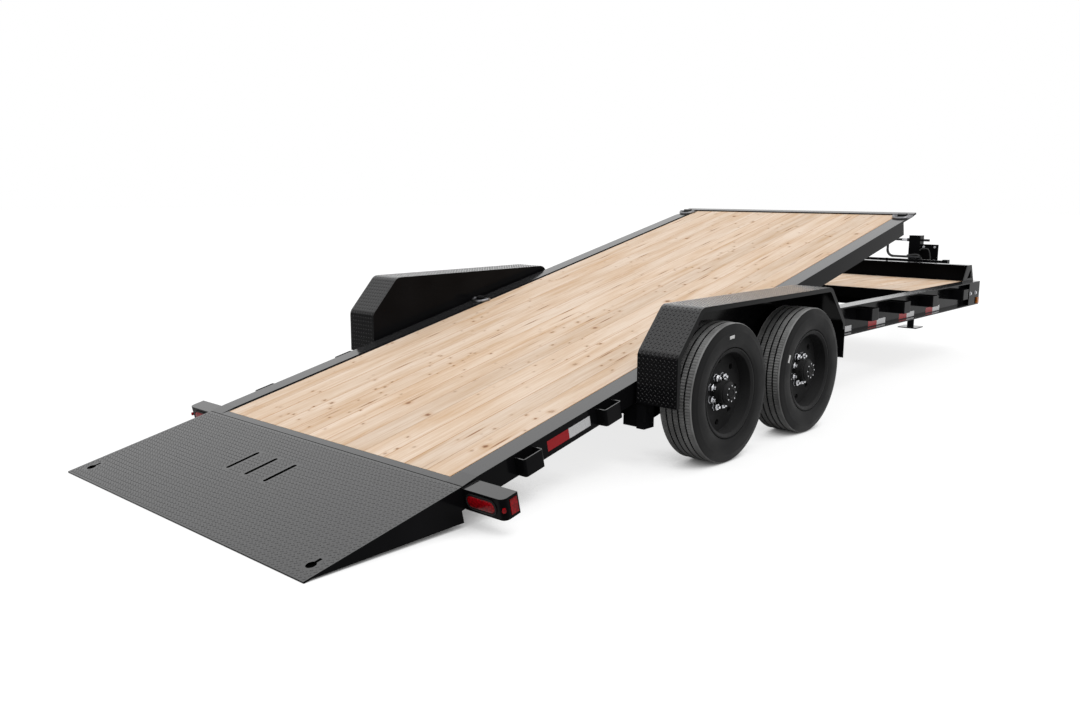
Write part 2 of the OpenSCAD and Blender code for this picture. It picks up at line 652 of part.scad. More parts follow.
// wheels: tyre, rim and hub about the Y axis, outer side to +Y
module revolve_y() rotate([-90, 0, 0]) rotate_extrude($fn = 96) children();
tyre_profile_shares = [[0, 0.40], [0.10, 0.41], [0.13, 0.455], [0.34, 0.492], [0.52, 0.5], [0.74, 0.487],
    [0.90, 0.455], [0.965, 0.42], [1, 0.36]];
function tyre_point(p, side) = [rim_seat_r + p[0] * (tyre_r - rim_seat_r), side * p[1] * tyre_w];
module tyre() revolve_y() polygon(concat(
    [for (p = tyre_profile_shares) tyre_point(p, 1)],
    [for (i = [len(tyre_profile_shares) - 1 : -1 : 0]) tyre_point(tyre_profile_shares[i], -1)]));
flange_t = (rim_w - 2 * tyre_profile_shares[1][1] * tyre_w) / 2;
disc_t = 12;
disc_local = disc_out - wheel_y;
hub_hole_r = hub_r + touch;
rim_bevel = 9;
rim_lip_share = 0.45;
rim_lip_r = rim_seat_r + rim_flange_h * rim_lip_share;
rim_in_r = rim_seat_r - rim_t;
module rim_half(y) polygon([[rim_in_r, 0], [rim_in_r, y * (rim_w / 2 - rim_bevel)], [rim_lip_r, y * rim_w / 2],
    [rim_seat_r + rim_flange_h, y * rim_w / 2], [rim_seat_r + rim_flange_h, y * (rim_w / 2 - flange_t)],
    [rim_seat_r, y * (rim_w / 2 - flange_t)], [rim_seat_r, 0]]);
module rim() difference() {
    revolve_y() union() {
        for (y = [-1, 1]) rim_half(y);
        translate([hub_hole_r, disc_local - disc_t]) square([rim_in_r - hub_hole_r, disc_t]);
    }
    for (i = [0 : nut_count - 1]) rotate([0, i * 360 / nut_count, 0])
        y_rod(hand_circle_r, 0, disc_local - disc_t - over, disc_local + over, hand_hole_r);
}
hub_l = 80;
hub_step_share = 0.6;
hub_step = disc_local + hub_l * hub_step_share;
hub_cap_r = 66;
hub_cap_t = 12;
stud_r = 8;
nut_r = 16;
nut_h = 22;
stud_l = 34;
module hub() difference() {
    union() {
        revolve_y() polygon([[0, drum_y - wheel_y], [drum_r, drum_y - wheel_y], [drum_r, disc_local - disc_t],
            [hub_r, disc_local - disc_t], [hub_r, hub_step], [hub_cap_r, hub_step],
            [hub_cap_r, hub_step + hub_cap_t], [hub_r, hub_step + hub_cap_t],
            [hub_r, disc_local + hub_l - hub_cap_t], [hub_r - hub_cap_t, disc_local + hub_l],
            [0, disc_local + hub_l]]);
        for (i = [0 : nut_count - 1]) rotate([0, (i + 1 / 2) * 360 / nut_count, 0]) {
            y_rod(stud_circle_r, 0, disc_local, disc_local + nut_h, nut_r);
            y_rod(stud_circle_r, 0, disc_local + nut_h, disc_local + stud_l, stud_r);
        }
    }
    y_rod(0, 0, drum_y - wheel_y - over, spindle_end - wheel_y + pass_gap, spindle_r + run_fit);
}
module at_wheel(x, side) in_frame() translate([x, side * wheel_y, tyre_r])
    mirror([0, side < 0 ? 1 : 0, 0]) children();
module tyre_front_left() color(rubber) at_wheel(front_axle_x, 1) tyre();
module tyre_front_right() color(rubber) at_wheel(front_axle_x, -1) tyre();
module tyre_rear_left() color(rubber) at_wheel(-front_axle_x, 1) tyre();
module tyre_rear_right() color(rubber) at_wheel(-front_axle_x, -1) tyre();
module rim_front_left() color(satin) at_wheel(front_axle_x, 1) rim();
module rim_front_right() color(satin) at_wheel(front_axle_x, -1) rim();
module rim_rear_left() color(satin) at_wheel(-front_axle_x, 1) rim();
module rim_rear_right() color(satin) at_wheel(-front_axle_x, -1) rim();
module hub_front_left() color(satin) at_wheel(front_axle_x, 1) hub();
module hub_front_right() color(satin) at_wheel(front_axle_x, -1) hub();
module hub_rear_left() color(satin) at_wheel(-front_axle_x, 1) hub();
module hub_rear_right() color(satin) at_wheel(-front_axle_x, -1) hub();

// bed side beams, channels with wide top flanges
module beam_side() {
    slab(-beam_rear_s, beam_front_s, bed_half - beam_t, bed_half, bed_low_n, bed_top_n);
    slab(-beam_rear_s, beam_front_s, beam_in, bed_half, bed_top_n - beam_t, bed_top_n);
    slab(-beam_rear_s, beam_front_s, bed_half - beam_low_w, bed_half, bed_low_n, bed_low_n + beam_t);
}
module bed_beam_left() color(black) on_bed() beam_side();
module bed_beam_right() color(black) on_bed() mirror([0, 1, 0]) beam_side();

bed_web_in = bed_half - beam_t;
bed_cross_rear = floor(plank_rear_s / bed_cross_pitch);
bed_cross_front = floor((beam_front_s - cross_w / 2) / bed_cross_pitch);
module bed_crossmembers() color(black) on_bed() {
    for (i = [-bed_cross_rear : bed_cross_front]) if (i != 0)
        channel(i * bed_cross_pitch + cross_w / 2, cross_low_n, plank_low_n, bed_web_in);
}
module bed_pivot_ears() color(black) on_bed() {
    slab(-pivot_beam_w / 2, pivot_beam_w / 2, -bed_web_in, bed_web_in, cross_low_n, plank_low_n);
    both() difference() {
        union() {
            y_rod(0, 0, ear_y - ear_t / 2, ear_y + ear_t / 2, lug_r);
            slab(-lug_r, lug_r, ear_y - ear_t / 2, ear_y + ear_t / 2, 0, cross_low_n);
        }
        y_rod(0, 0, ear_y - ear_t / 2 - over, ear_y + ear_t / 2 + over, pivot_pin_r + run_fit);
    }
}
module bed_planks() color(pine) on_bed()
    plank_field(-plank_rear_s, plank_front_s, plank_half, plank_low_n, bed_top_n, plank_count);

// thin plate ahead of the planks, and the strip that carries the planks' front ends
lip_strip_s = bed_cross_front * bed_cross_pitch + cross_w / 2;
module front_lip() color(black) on_bed() {
    slab(plank_front_s, plank_front_s + lip_reach, -bed_half, bed_half, bed_top_n - beam_t / 2, bed_top_n + lip_t);
    slab(beam_front_s, plank_front_s, beam_in, bed_half, bed_top_n - beam_t, bed_top_n);
    slab(beam_front_s, plank_front_s, -bed_half, -beam_in, bed_top_n - beam_t, bed_top_n);
    slab(lip_strip_s, plank_front_s, -plank_half, plank_half, plank_low_n - beam_t, plank_low_n);
}
module rear_beam() color(black) on_bed() {
    slab(-beam_rear_s, -plank_rear_s - seam_w, -beam_in, beam_in, bed_top_n - beam_t, bed_top_n);
    slab(-beam_rear_s, -beam_rear_s + beam_t, -bed_web_in, bed_web_in, cross_low_n, bed_top_n - beam_t);
    slab(-beam_rear_s, -plank_rear_s, -bed_web_in, bed_web_in, cross_low_n, cross_low_n + beam_t);
}

// wedge tail
keyhole_s = tail_tip_s - 4 * keyhole_r;
keyhole_in = 75;
slot_mid_y = 52;
module tail_plate() color(black) on_bed() difference() {
    slab(-tail_tip_s, -beam_rear_s, -bed_half, bed_half, tip_n, bed_top_n);
    for (i = [-1 : 1]) {
        slab(-beam_rear_s - slot_in - slot_l / 2 + slot_w / 2, -beam_rear_s - slot_in + slot_l / 2 - slot_w / 2,
            slot_mid_y + i * slot_pitch - slot_w / 2, slot_mid_y + i * slot_pitch + slot_w / 2,
            tip_n - over, bed_top_n + over);
        for (side = [-1, 1])
            z_rod(-beam_rear_s - slot_in + side * (slot_l / 2 - slot_w / 2), slot_mid_y + i * slot_pitch,
                tip_n - over, bed_top_n + over, slot_w / 2);
    }
    both() {
        z_rod(-keyhole_s, bed_half - keyhole_in, tip_n - over, bed_top_n + over, keyhole_r);
        slab(-keyhole_s, -keyhole_s + keyhole_l, bed_half - keyhole_in - keyhole_neck / 2,
            bed_half - keyhole_in + keyhole_neck / 2, tip_n - over, bed_top_n + over);
    }
}
wedge_front = beam_rear_s + wedge_t;
module wedge(y, front_s) side_plate([[-tail_tip_s + wedge_h / 4, tip_n], [-front_s, tip_n], [-front_s, tip_n - wedge_h]],
    y - wedge_t / 2, y + wedge_t / 2);
rib_span = 2 * bed_half - 2 * keyhole_in - 4 * keyhole_r;
module tail_frame() color(black) on_bed() {
    both() wedge(bed_half - wedge_t / 2, beam_rear_s);
    for (i = [0 : tail_rib_count - 1])
        wedge(-rib_span / 2 + i * rib_span / (tail_rib_count - 1), wedge_front);
    slab(-wedge_front, -beam_rear_s, -bed_half + wedge_t, bed_half - wedge_t, tip_n - wedge_h, tip_n);
}

// tail lamp boxes beside the bed, with a rounded outer rear corner
lamp_in = 22;
lamp_s = -beam_rear_s + lamp_in;
lamp_top_n = bed_top_n - beam_t;
lamp_box_d = 88;
module lamp_plan() union() {
    translate([lamp_s + lamp_box_r, bed_half]) square([lamp_box_d - lamp_box_r, lamp_box_w]);
    translate([lamp_s, bed_half]) square([lamp_box_d, lamp_box_w - lamp_box_r]);
    translate([lamp_s + lamp_box_r, bed_half + lamp_box_w - lamp_box_r]) circle(lamp_box_r);
}
module tail_lamp_boxes() color(black) on_bed() both()
    translate([0, 0, lamp_top_n - lamp_box_h]) linear_extrude(lamp_box_h) lamp_plan();
lamp_l = 163;
lamp_h = 56;
lamp_t = 9;
lamp_mid_y = bed_half + (lamp_box_w - lamp_box_r) / 2;
lamp_mid_n = lamp_top_n - lamp_box_h / 2;
module tail_lamps() color(red) on_bed() both() {
    slab(lamp_s - lamp_t, lamp_s, lamp_mid_y - (lamp_l - lamp_h) / 2, lamp_mid_y + (lamp_l - lamp_h) / 2,
        lamp_mid_n - lamp_h / 2, lamp_mid_n + lamp_h / 2);
    for (side = [-1, 1])
        x_rod(lamp_s - lamp_t, lamp_s, lamp_mid_y + side * (lamp_l - lamp_h) / 2, lamp_mid_n, lamp_h / 2);
}
side_marker_r = 9;
side_marker_t = 12;
module marker_lamps() color(red) on_bed() both() difference() {
    translate([lamp_s + lamp_box_r, bed_half + lamp_box_w - lamp_box_r, lamp_mid_n]) rotate([0, 0, 135])
        rotate([0, 90, 0]) cylinder(h = lamp_box_r + side_marker_t, r = side_marker_r);
    translate([lamp_s + lamp_box_r, bed_half + lamp_box_w - lamp_box_r, lamp_top_n - lamp_box_h])
        cylinder(h = lamp_box_h, r = lamp_box_r);
}
reflector_w = 42;
reflector_h = 68;
reflector_t = 3;
reflector_in = 9;
module reflectors() color(red) on_bed() both()
    slab(lamp_s + lamp_box_d - reflector_w - reflector_in, lamp_s + lamp_box_d - reflector_in,
        bed_half + lamp_box_w, bed_half + lamp_box_w + reflector_t,
        lamp_mid_n - reflector_h / 2, lamp_mid_n + reflector_h / 2);

bed_pocket_shares = [0.842, 0.617];
bed_pocket_drop = 10;
module bed_stake_pockets() color(black) on_bed() both()
    for (share = bed_pocket_shares)
        translate([-beam_rear_s * share, bed_half, bed_top_n - bed_pocket_drop]) pocket(pocket_out);

// tie-down rings, folded flat beside their straps
strap_l = 64;
strap_w = 50;
ring_front_s = plank_front_s - strap_w - ring_bar_r;
ring_mid_share = 0.172;
ring_mid_s = -beam_rear_s * ring_mid_share;
ring_play = 1.5;
ring_y = bed_half - beam_flange_w / 2;
module tie_strap(s) difference() {
    union() {
        y_rod(s, bed_top_n + ring_bar_r, ring_y - strap_l / 2, ring_y + strap_l / 2, ring_bar_r * 2);
        slab(s, s + strap_w, ring_y - strap_l / 2, ring_y + strap_l / 2, bed_top_n, bed_top_n + ring_bar_r);
    }
    y_rod(s, bed_top_n + ring_bar_r, ring_y - strap_l, ring_y + strap_l, ring_bar_r + ring_play);
    slab(s - strap_l, s + strap_l, ring_y - strap_l, ring_y + strap_l, bed_top_n - strap_l, bed_top_n);
}
module tie_ring(s) translate([s, ring_y, bed_top_n + ring_bar_r]) {
    y_rod(0, 0, -ring_r - ring_bar_r, ring_r + ring_bar_r, ring_bar_r);
    rotate([0, 0, 90]) rotate_extrude(angle = 180) translate([ring_r, 0]) circle(ring_bar_r);
}
module tie_straps() color(black) on_bed() both() for (s = [ring_front_s, ring_mid_s]) tie_strap(s);
module tie_rings() color(satin) on_bed() both() for (s = [ring_front_s, ring_mid_s]) tie_ring(s);

// tilt cylinder: foot pin, barrel, rod and the lug on the bed
lug_pin_r = 15;
rod_eye_gap = 12;
rod_eye_wall = 15;
rod_eye_r = lug_pin_r + rod_eye_gap + rod_eye_wall;
lug_x = pivot_x + cyl_lug_s * cos(tilt);
lug_z = pivot_z + cyl_lug_s * sin(tilt);
cyl_l = sqrt(pow(lug_x - cyl_foot_x, 2) + pow(lug_z - cyl_foot_z, 2));
cyl_angle = atan((lug_z - cyl_foot_z) / (lug_x - cyl_foot_x));
module along_cylinder() in_frame() translate([cyl_foot_x, 0, cyl_foot_z]) rotate([0, -cyl_angle, 0]) children();
barrel_start = 50;
gland_l = 40;
rod_back = 420;
rod_room = 110;
module cylinder_barrel() color(black) along_cylinder() difference() {
    union() {
        y_rod(0, 0, -cyl_eye_t / 2, cyl_eye_t / 2, cyl_ear_r);
        slab(0, barrel_start + gland_l, -cyl_eye_t / 2, cyl_eye_t / 2, -cyl_pin_r, cyl_pin_r);
        x_rod(barrel_start, barrel_l, 0, 0, barrel_r);
    }
    y_rod(0, 0, -cyl_eye_t, cyl_eye_t, cyl_pin_r + run_fit);
    x_rod(cyl_l - rod_back - rod_room - cyl_eye_t, barrel_l + over, 0, 0, rod_r + run_fit);
}
module cylinder_rod() color(steel) along_cylinder() difference() {
    union() {
        x_rod(cyl_l - rod_back - cyl_eye_t, cyl_l - lug_pin_r - rod_eye_gap - rod_eye_wall / 3, 0, 0, rod_r);
        y_rod(cyl_l, 0, -cyl_eye_t / 2, cyl_eye_t / 2, rod_eye_r);
    }
    y_rod(cyl_l, 0, -cyl_eye_t, cyl_eye_t, lug_pin_r + rod_eye_gap);
}
module cylinder_lug() color(black) on_bed() {
    both() {
        y_rod(cyl_lug_s, 0, cyl_ear_y, cyl_ear_y + cyl_ear_t, cyl_ear_r);
        slab(cyl_lug_s - cyl_ear_r, cyl_lug_s + cyl_ear_r, cyl_ear_y, cyl_ear_y + cyl_ear_t, 0, cross_low_n);
    }
    y_rod(cyl_lug_s, 0, -cyl_ear_y - cyl_ear_t, cyl_ear_y + cyl_ear_t, lug_pin_r);
}

rail_left();
rail_right();
frame_crossmembers();
pivot_brackets();
cylinder_foot();
front_header();
corner_boxes();
amber_markers();
front_planks();
front_deck_edge();
bulkhead_rail();
frame_stake_pockets();
tongue_beams();
coupler();
jack_mount();
jack_tube();
jack_leg();
jack_crank();
tongue_bar();
valve_plate();
axle_front();
axle_rear();
axle_brackets();
fender_left();
fender_right();
tyre_front_left();
tyre_front_right();
tyre_rear_left();
tyre_rear_right();
rim_front_left();
rim_front_right();
rim_rear_left();
rim_rear_right();
hub_front_left();
hub_front_right();
hub_rear_left();
hub_rear_right();
bed_beam_left();
bed_beam_right();
bed_crossmembers();
bed_pivot_ears();
bed_planks();
front_lip();
rear_beam();
tail_plate();
tail_frame();
tail_lamp_boxes();
tail_lamps();
marker_lamps();
reflectors();
bed_stake_pockets();
tie_straps();
tie_rings();
cylinder_barrel();
cylinder_rod();
cylinder_lug();
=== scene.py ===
import json
import math

import bmesh
import bpy
from mathutils import Euler, Matrix, Vector


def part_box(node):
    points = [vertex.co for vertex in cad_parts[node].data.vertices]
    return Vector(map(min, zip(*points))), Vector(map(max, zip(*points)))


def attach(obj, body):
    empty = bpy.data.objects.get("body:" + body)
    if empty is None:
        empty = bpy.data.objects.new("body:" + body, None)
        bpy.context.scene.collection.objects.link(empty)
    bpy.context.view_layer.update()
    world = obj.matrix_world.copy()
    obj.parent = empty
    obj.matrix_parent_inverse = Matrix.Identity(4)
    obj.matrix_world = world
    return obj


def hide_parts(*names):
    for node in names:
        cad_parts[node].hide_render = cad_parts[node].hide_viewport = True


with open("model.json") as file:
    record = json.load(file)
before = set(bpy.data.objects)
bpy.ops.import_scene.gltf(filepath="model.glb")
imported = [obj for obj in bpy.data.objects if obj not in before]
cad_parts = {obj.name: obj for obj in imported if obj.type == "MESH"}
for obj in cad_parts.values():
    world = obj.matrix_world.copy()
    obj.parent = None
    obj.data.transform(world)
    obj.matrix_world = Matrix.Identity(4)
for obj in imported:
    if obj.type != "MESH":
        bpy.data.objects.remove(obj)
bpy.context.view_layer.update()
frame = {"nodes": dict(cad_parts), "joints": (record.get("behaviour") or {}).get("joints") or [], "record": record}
nodes = frame["nodes"]
joints = {j["name"]: j for j in frame["joints"]}
print("frame loaded,", len(nodes), "nodes")

# the tilted bed has its own axes: s to the front, y to the left, n up from the planks
pivot = Vector(joints["bed_tilt"]["pos_m"])
wheelNames = ["front_left", "front_right", "rear_left", "rear_right"]
tilt = math.radians(joints["bed_tilt"]["range_deg"][1])
bedMatrix = Matrix.Translation(pivot) @ Matrix.Rotation(-tilt, 4, "Y")
bedInverse = bedMatrix.inverted()


def bedBox(node):
    points = [bedInverse @ v.co for v in nodes[node].data.vertices]
    low = Vector([min(p[i] for p in points) for i in range(3)])
    high = Vector([max(p[i] for p in points) for i in range(3)])
    return low, high


def addPiece(name, mesh, body, material):
    piece = bpy.data.objects.new(name, mesh)
    bpy.context.scene.collection.objects.link(piece)
    piece.data.materials.append(material)
    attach(piece, body)
    return piece


# materials
class Shade:
    def __init__(self, name):
        self.material = bpy.data.materials.new(name)
        self.material.use_nodes = True
        self.tree = self.material.node_tree
        self.shader = self.tree.nodes["Principled BSDF"]

    def add(self, kind, **values):
        node = self.tree.nodes.new(kind)
        for key, value in values.items():
            if hasattr(node, key):
                setattr(node, key, value)
            else:
                node.inputs[key].default_value = value
        return node

    def link(self, start, end):
        self.tree.links.new(start, end)

    def setSocket(self, socket, value):
        self.shader.inputs[socket].default_value = value

    def objectPoint(self, scale=(1, 1, 1), turn=(0, 0, 0)):
        point = self.add("ShaderNodeTexCoord").outputs["Object"]
        if tuple(turn) != (0, 0, 0):
            turned = self.add("ShaderNodeMapping", vector_type="POINT")
            turned.inputs["Rotation"].default_value = turn
            self.link(point, turned.inputs["Vector"])
            point = turned.outputs["Vector"]
        stretch = self.add("ShaderNodeMapping", vector_type="POINT")
        stretch.inputs["Scale"].default_value = scale
        self.link(point, stretch.inputs["Vector"])
        return stretch.outputs["Vector"]

    def noise(self, point, scale, detail=3.0, rough=0.5):
        node = self.add("ShaderNodeTexNoise")
        node.inputs["Scale"].default_value = scale
        node.inputs["Detail"].default_value = detail
        node.inputs["Roughness"].default_value = rough
        self.link(point, node.inputs["Vector"])
        return node.outputs["Fac"]

    def math(self, kind, first, second=None, third=None):
        node = self.add("ShaderNodeMath", operation=kind)
        for i, value in enumerate((first, second, third)):
            if value is None:
                continue
            if isinstance(value, (int, float)):
                node.inputs[i].default_value = value
            else:
                self.link(value, node.inputs[i])
        return node.outputs[0]

    def ramp(self, value, stops):
        node = self.add("ShaderNodeValToRGB")
        while len(node.color_ramp.elements) < len(stops):
            node.color_ramp.elements.new(0.5)
        for element, (place, colour) in zip(node.color_ramp.elements, stops):
            element.position = place
            element.color = (*colour, 1) if len(colour) == 3 else colour
        self.link(value, node.inputs["Fac"])
        return node.outputs["Color"]

    def rangeOf(self, value, low, high, newLow, newHigh):
        node = self.add("ShaderNodeMapRange")
        for socket, number in zip(("From Min", "From Max", "To Min", "To Max"), (low, high, newLow, newHigh)):
            node.inputs[socket].default_value = number
        self.link(value, node.inputs["Value"])
        return node.outputs["Result"]

    def mix(self, share, first, second, kind="MIX"):
        node = self.add("ShaderNodeMix", data_type="RGBA", blend_type=kind)
        for socket, value in ((node.inputs[0], share), (node.inputs[6], first), (node.inputs[7], second)):
            if isinstance(value, (int, float)):
                socket.default_value = value
            elif isinstance(value, tuple):
                socket.default_value = (*value, 1)
            else:
                self.link(value, socket)
        return node.outputs[2]

    def bump(self, height, strength, distance):
        node = self.add("ShaderNodeBump")
        node.inputs["Strength"].default_value = strength
        node.inputs["Distance"].default_value = distance
        self.link(height, node.inputs["Height"])
        self.link(node.outputs["Normal"], self.shader.inputs["Normal"])


# black paint, greyer where a face looks up: a painted sheen on level faces, broken up by fine specks
# tint and gloss are given for upright and for level faces, higher on level ones as painted sheen; two ranges give how
# far a face must look up for the grey and for the gloss
paintLook = {"dark": (0.0045, 0.0045, 0.005), "pale": (0.008, 0.008, 0.0088), "topSheen": (0.024, 0.024, 0.025),
             "roughLow": 0.1, "roughHigh": 0.15, "tint": (0.1, 1.0), "gloss": (0.05, 1.0), "sheenFrom": (0.2, 0.7),
             "glossFrom": (0.2, 0.7), "sheenShare": (0.86, 1.0), "cloudScale": 3.0, "speckScale": 60.0,
             "peelScale": 420.0, "peelStrength": 0.1, "peelDepth": 0.0003}


def makePaint(name, look):
    shade = Shade(name)
    point = shade.objectPoint()
    cloud = shade.noise(point, look["cloudScale"], 5.0)
    base = shade.ramp(cloud, [(0.3, look["dark"]), (0.7, look["pale"])])
    split = shade.add("ShaderNodeSeparateXYZ")
    shade.link(shade.add("ShaderNodeTexCoord").outputs["Normal"], split.inputs[0])
    speck = shade.noise(point, look["speckScale"], 4.0)
    # up-facing faces are painted a paler grey, a painted sheen
    upward = shade.rangeOf(split.outputs[2], *look["sheenFrom"], 0.0, 1.0)
    sheenMask = shade.math("MULTIPLY", upward, shade.rangeOf(speck, 0.3, 0.7, *look["sheenShare"]))
    shade.link(shade.mix(sheenMask, base, look["topSheen"]), shade.shader.inputs["Base Color"])
    shade.link(shade.rangeOf(speck, 0.3, 0.7, look["roughLow"], look["roughHigh"]), shade.shader.inputs["Roughness"])
    # more gloss and specular tint on up-facing faces: painted sheen on the tops, painted shade on the upright sides
    glossy = shade.rangeOf(split.outputs[2], *look["glossFrom"], 0.0, 1.0)
    shade.link(shade.rangeOf(glossy, 0.0, 1.0, *look["gloss"]), shade.shader.inputs["Specular IOR Level"])
    low, high = look["tint"]
    shade.link(shade.mix(glossy, (low, low, low), (high, high, high)), shade.shader.inputs["Specular Tint"])
    shade.bump(shade.noise(point, look["peelScale"], 1.0), look["peelStrength"], look["peelDepth"])
    return shade.material


blackPaint = makePaint("blackPaint", paintLook)
# tread plate: a stronger painted sheen on level faces, for light caught on the lug tops
treadPaint = makePaint("treadPaint", {**paintLook, "topSheen": (0.098, 0.098, 0.099), "roughLow": 0.18, "roughHigh": 0.28,
                                      "tint": (0.12, 0.12), "gloss": (0.05, 0.5)})
# fenders: painted sheen in the grey of level faces, with the extra gloss kept to the flat top
fenderPaint = makePaint("fenderPaint", {**paintLook, "topSheen": (0.094, 0.094, 0.095), "roughLow": 0.1, "roughHigh": 0.16,
                                        "tint": (0.2, 1.0), "gloss": (0.08, 1.0), "glossFrom": (0.72, 0.98)})
wheelPaint = makePaint("wheelPaint", {**paintLook, "dark": (0.025, 0.025, 0.0255), "pale": (0.038, 0.038, 0.0385),
                                      "topSheen": (0.034, 0.034, 0.0345), "roughLow": 0.4, "roughHigh": 0.55,
                                      "tint": (0.25, 0.25), "gloss": (0.04, 0.1)})

woodLook = {"palest": (0.82, 0.67, 0.54), "pale": (0.755, 0.585, 0.44), "mid": (0.66, 0.45, 0.28),
            "streak": (0.56, 0.325, 0.155), "knot": (0.21, 0.07, 0.014), "seam": (0.60, 0.29, 0.095), "rough": 0.6,
            "count": 12, "shift": 37.0, "tone": (0.92, 1.03), "bump": 0.25, "bumpDepth": 0.0006,
            # stretch of each grain along and across a plank
            "grain": (1.6, 11.0), "fine": (2.2, 150.0), "lines": (1.3, 55.0),
            # cells of knots along and across, their size, their own shift, and whether they come in clusters
            "knots": ((1.5, 1.7, 0.027, 3.0, False), (5.0, 5.4, 0.06, 11.0, True),
                      (9.0, 10.0, 0.085, 17.0, True), (0.9, 13.0, 0.07, 23.0, False)),
            "knotRings": ((0.8, 2.4, 0.6, "streak"), (0.5, 1.0, 1.0, "knot")), "knotDepth": 0.95, "warp": 0.01,
            "clusterScale": 2.3, "seamEdge": (0.006, 0.02), "seamStrength": (0.15, 0.9)}


def makeWood(name, look, half, turn):
    shade = Shade(name)
    point = shade.objectPoint(turn=turn)
    split = shade.add("ShaderNodeSeparateXYZ")
    shade.link(point, split.inputs[0])
    along, across = split.outputs[0], split.outputs[1]
    width = 2 * half / look["count"]
    place = shade.math("DIVIDE", shade.math("ADD", across, half), width)
    index = shade.math("FLOOR", place)
    chance = shade.add("ShaderNodeTexWhiteNoise", noise_dimensions="1D")
    shade.link(index, chance.inputs["W"])
    lot = chance.outputs["Value"]
    shift = shade.math("MULTIPLY", lot, look["shift"])

    # a point drawn out along each plank and moved from plank to plank
    def drawnOut(stretch, aside=0.0):
        drawn = shade.add("ShaderNodeCombineXYZ")
        shade.link(shade.math("ADD", shade.math("MULTIPLY", along, stretch[0]), shift), drawn.inputs[0])
        shade.link(shade.math("ADD", shade.math("MULTIPLY", across, stretch[1]), aside), drawn.inputs[1])
        return drawn

    grain = drawnOut(look["grain"])
    shade.link(shift, grain.inputs[2])
    broad = shade.noise(grain.outputs[0], 1.0, 3.0, 0.5)
    cloud = shade.noise(grain.outputs[0], 4.0, 3.0, 0.6)
    fine = shade.noise(drawnOut(look["fine"]).outputs[0], 1.0, 3.0, 0.6)
    lines = shade.noise(drawnOut(look["lines"]).outputs[0], 1.0, 4.0, 0.6)
    colour = shade.ramp(broad, [(0.36, look["palest"]), (0.5, look["pale"]), (0.66, look["mid"]),
                                (0.8, look["streak"])])
    colour = shade.mix(shade.rangeOf(cloud, 0.45, 0.75, 0.0, 0.75), colour, look["palest"])
    colour = shade.mix(shade.rangeOf(cloud, 0.25, 0.48, 0.55, 0.0), colour, look["mid"])
    colour = shade.mix(shade.rangeOf(fine, 0.45, 0.75, 0.0, 0.5), colour, look["mid"])
    colour = shade.mix(shade.rangeOf(lines, 0.5, 0.72, 0.0, 0.6), colour, look["streak"])
    colour = shade.mix(shade.rangeOf(lines, 0.28, 0.45, 0.4, 0.0), colour, look["palest"])
    tone = shade.rangeOf(lot, 0.0, 1.0, *look["tone"])
    toneColour = shade.add("ShaderNodeCombineXYZ")
    for i in range(3):
        shade.link(tone, toneColour.inputs[i])
    colour = shade.mix(1.0, colour, toneColour.outputs[0], "MULTIPLY")
    # round knots with a warm rim, specks in clusters, and short dashes along the grain
    cluster = shade.rangeOf(shade.noise(point, look["clusterScale"], 2.0), 0.46, 0.6, 0.0, 1.0)
    for long, wide, size, aside, gathered in look["knots"]:
        knotPoint = drawnOut((long, wide), aside)
        cell = shade.add("ShaderNodeTexVoronoi", feature="F1", voronoi_dimensions="2D")
        cell.inputs["Scale"].default_value = 1.0
        shade.link(knotPoint.outputs[0], cell.inputs["Vector"])
        warp = shade.math("ADD", cell.outputs["Distance"], shade.rangeOf(fine, 0.3, 0.7, -look["warp"], look["warp"]))
        dim = shade.add("ShaderNodeSeparateColor")
        shade.link(cell.outputs["Color"], dim.inputs[0])
        depth = shade.rangeOf(dim.outputs[0], 0.35, 0.8, 0.0, look["knotDepth"])
        if gathered:
            depth = shade.math("MULTIPLY", depth, cluster)
        for start, end, strength, tint in look["knotRings"]:
            knot = shade.rangeOf(warp, size * start, size * end, strength, 0.0)
            colour = shade.mix(shade.math("MULTIPLY", knot, depth), colour, look[tint])
    edge = shade.math("PINGPONG", place, 0.5)
    seam = shade.rangeOf(edge, *look["seamEdge"], 1.0, 0.0)
    joint = shade.math("ROUND", place)
    jointChance = shade.add("ShaderNodeTexWhiteNoise", noise_dimensions="1D")
    shade.link(joint, jointChance.inputs["W"])
    strength = shade.rangeOf(jointChance.outputs["Value"], 0.35, 0.7, *look["seamStrength"])
    colour = shade.mix(shade.math("MULTIPLY", seam, strength), colour, look["seam"])
    shade.link(colour, shade.shader.inputs["Base Color"])
    shade.setSocket("Roughness", look["rough"])
    shade.bump(fine, look["bump"], look["bumpDepth"])
    return shade.material


bedPlankHigh = bedBox("bed_planks")[1]
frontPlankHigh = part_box("front_planks")[1]
bedWood = makeWood("bedWood", woodLook, bedPlankHigh.y, (0, tilt, 0))
frontWood = makeWood("frontWood", woodLook, frontPlankHigh.y, (0, 0, 0))

rubberLook = {"dark": (0.005, 0.005, 0.0052), "pale": (0.009, 0.009, 0.0095), "rough": (0.5, 0.66), "level": 0.16,
              "cloudScale": 9.0, "grainScale": 300.0, "grainStrength": 0.2, "grainDepth": 0.0005}
# the tread ribs are much paler than the walls: dust on the rubber, with a painted highlight
treadRubberLook = {**rubberLook, "dark": (0.2, 0.2, 0.199), "pale": (0.34, 0.34, 0.337),
                   "rough": (0.75, 0.9), "level": 0.1}


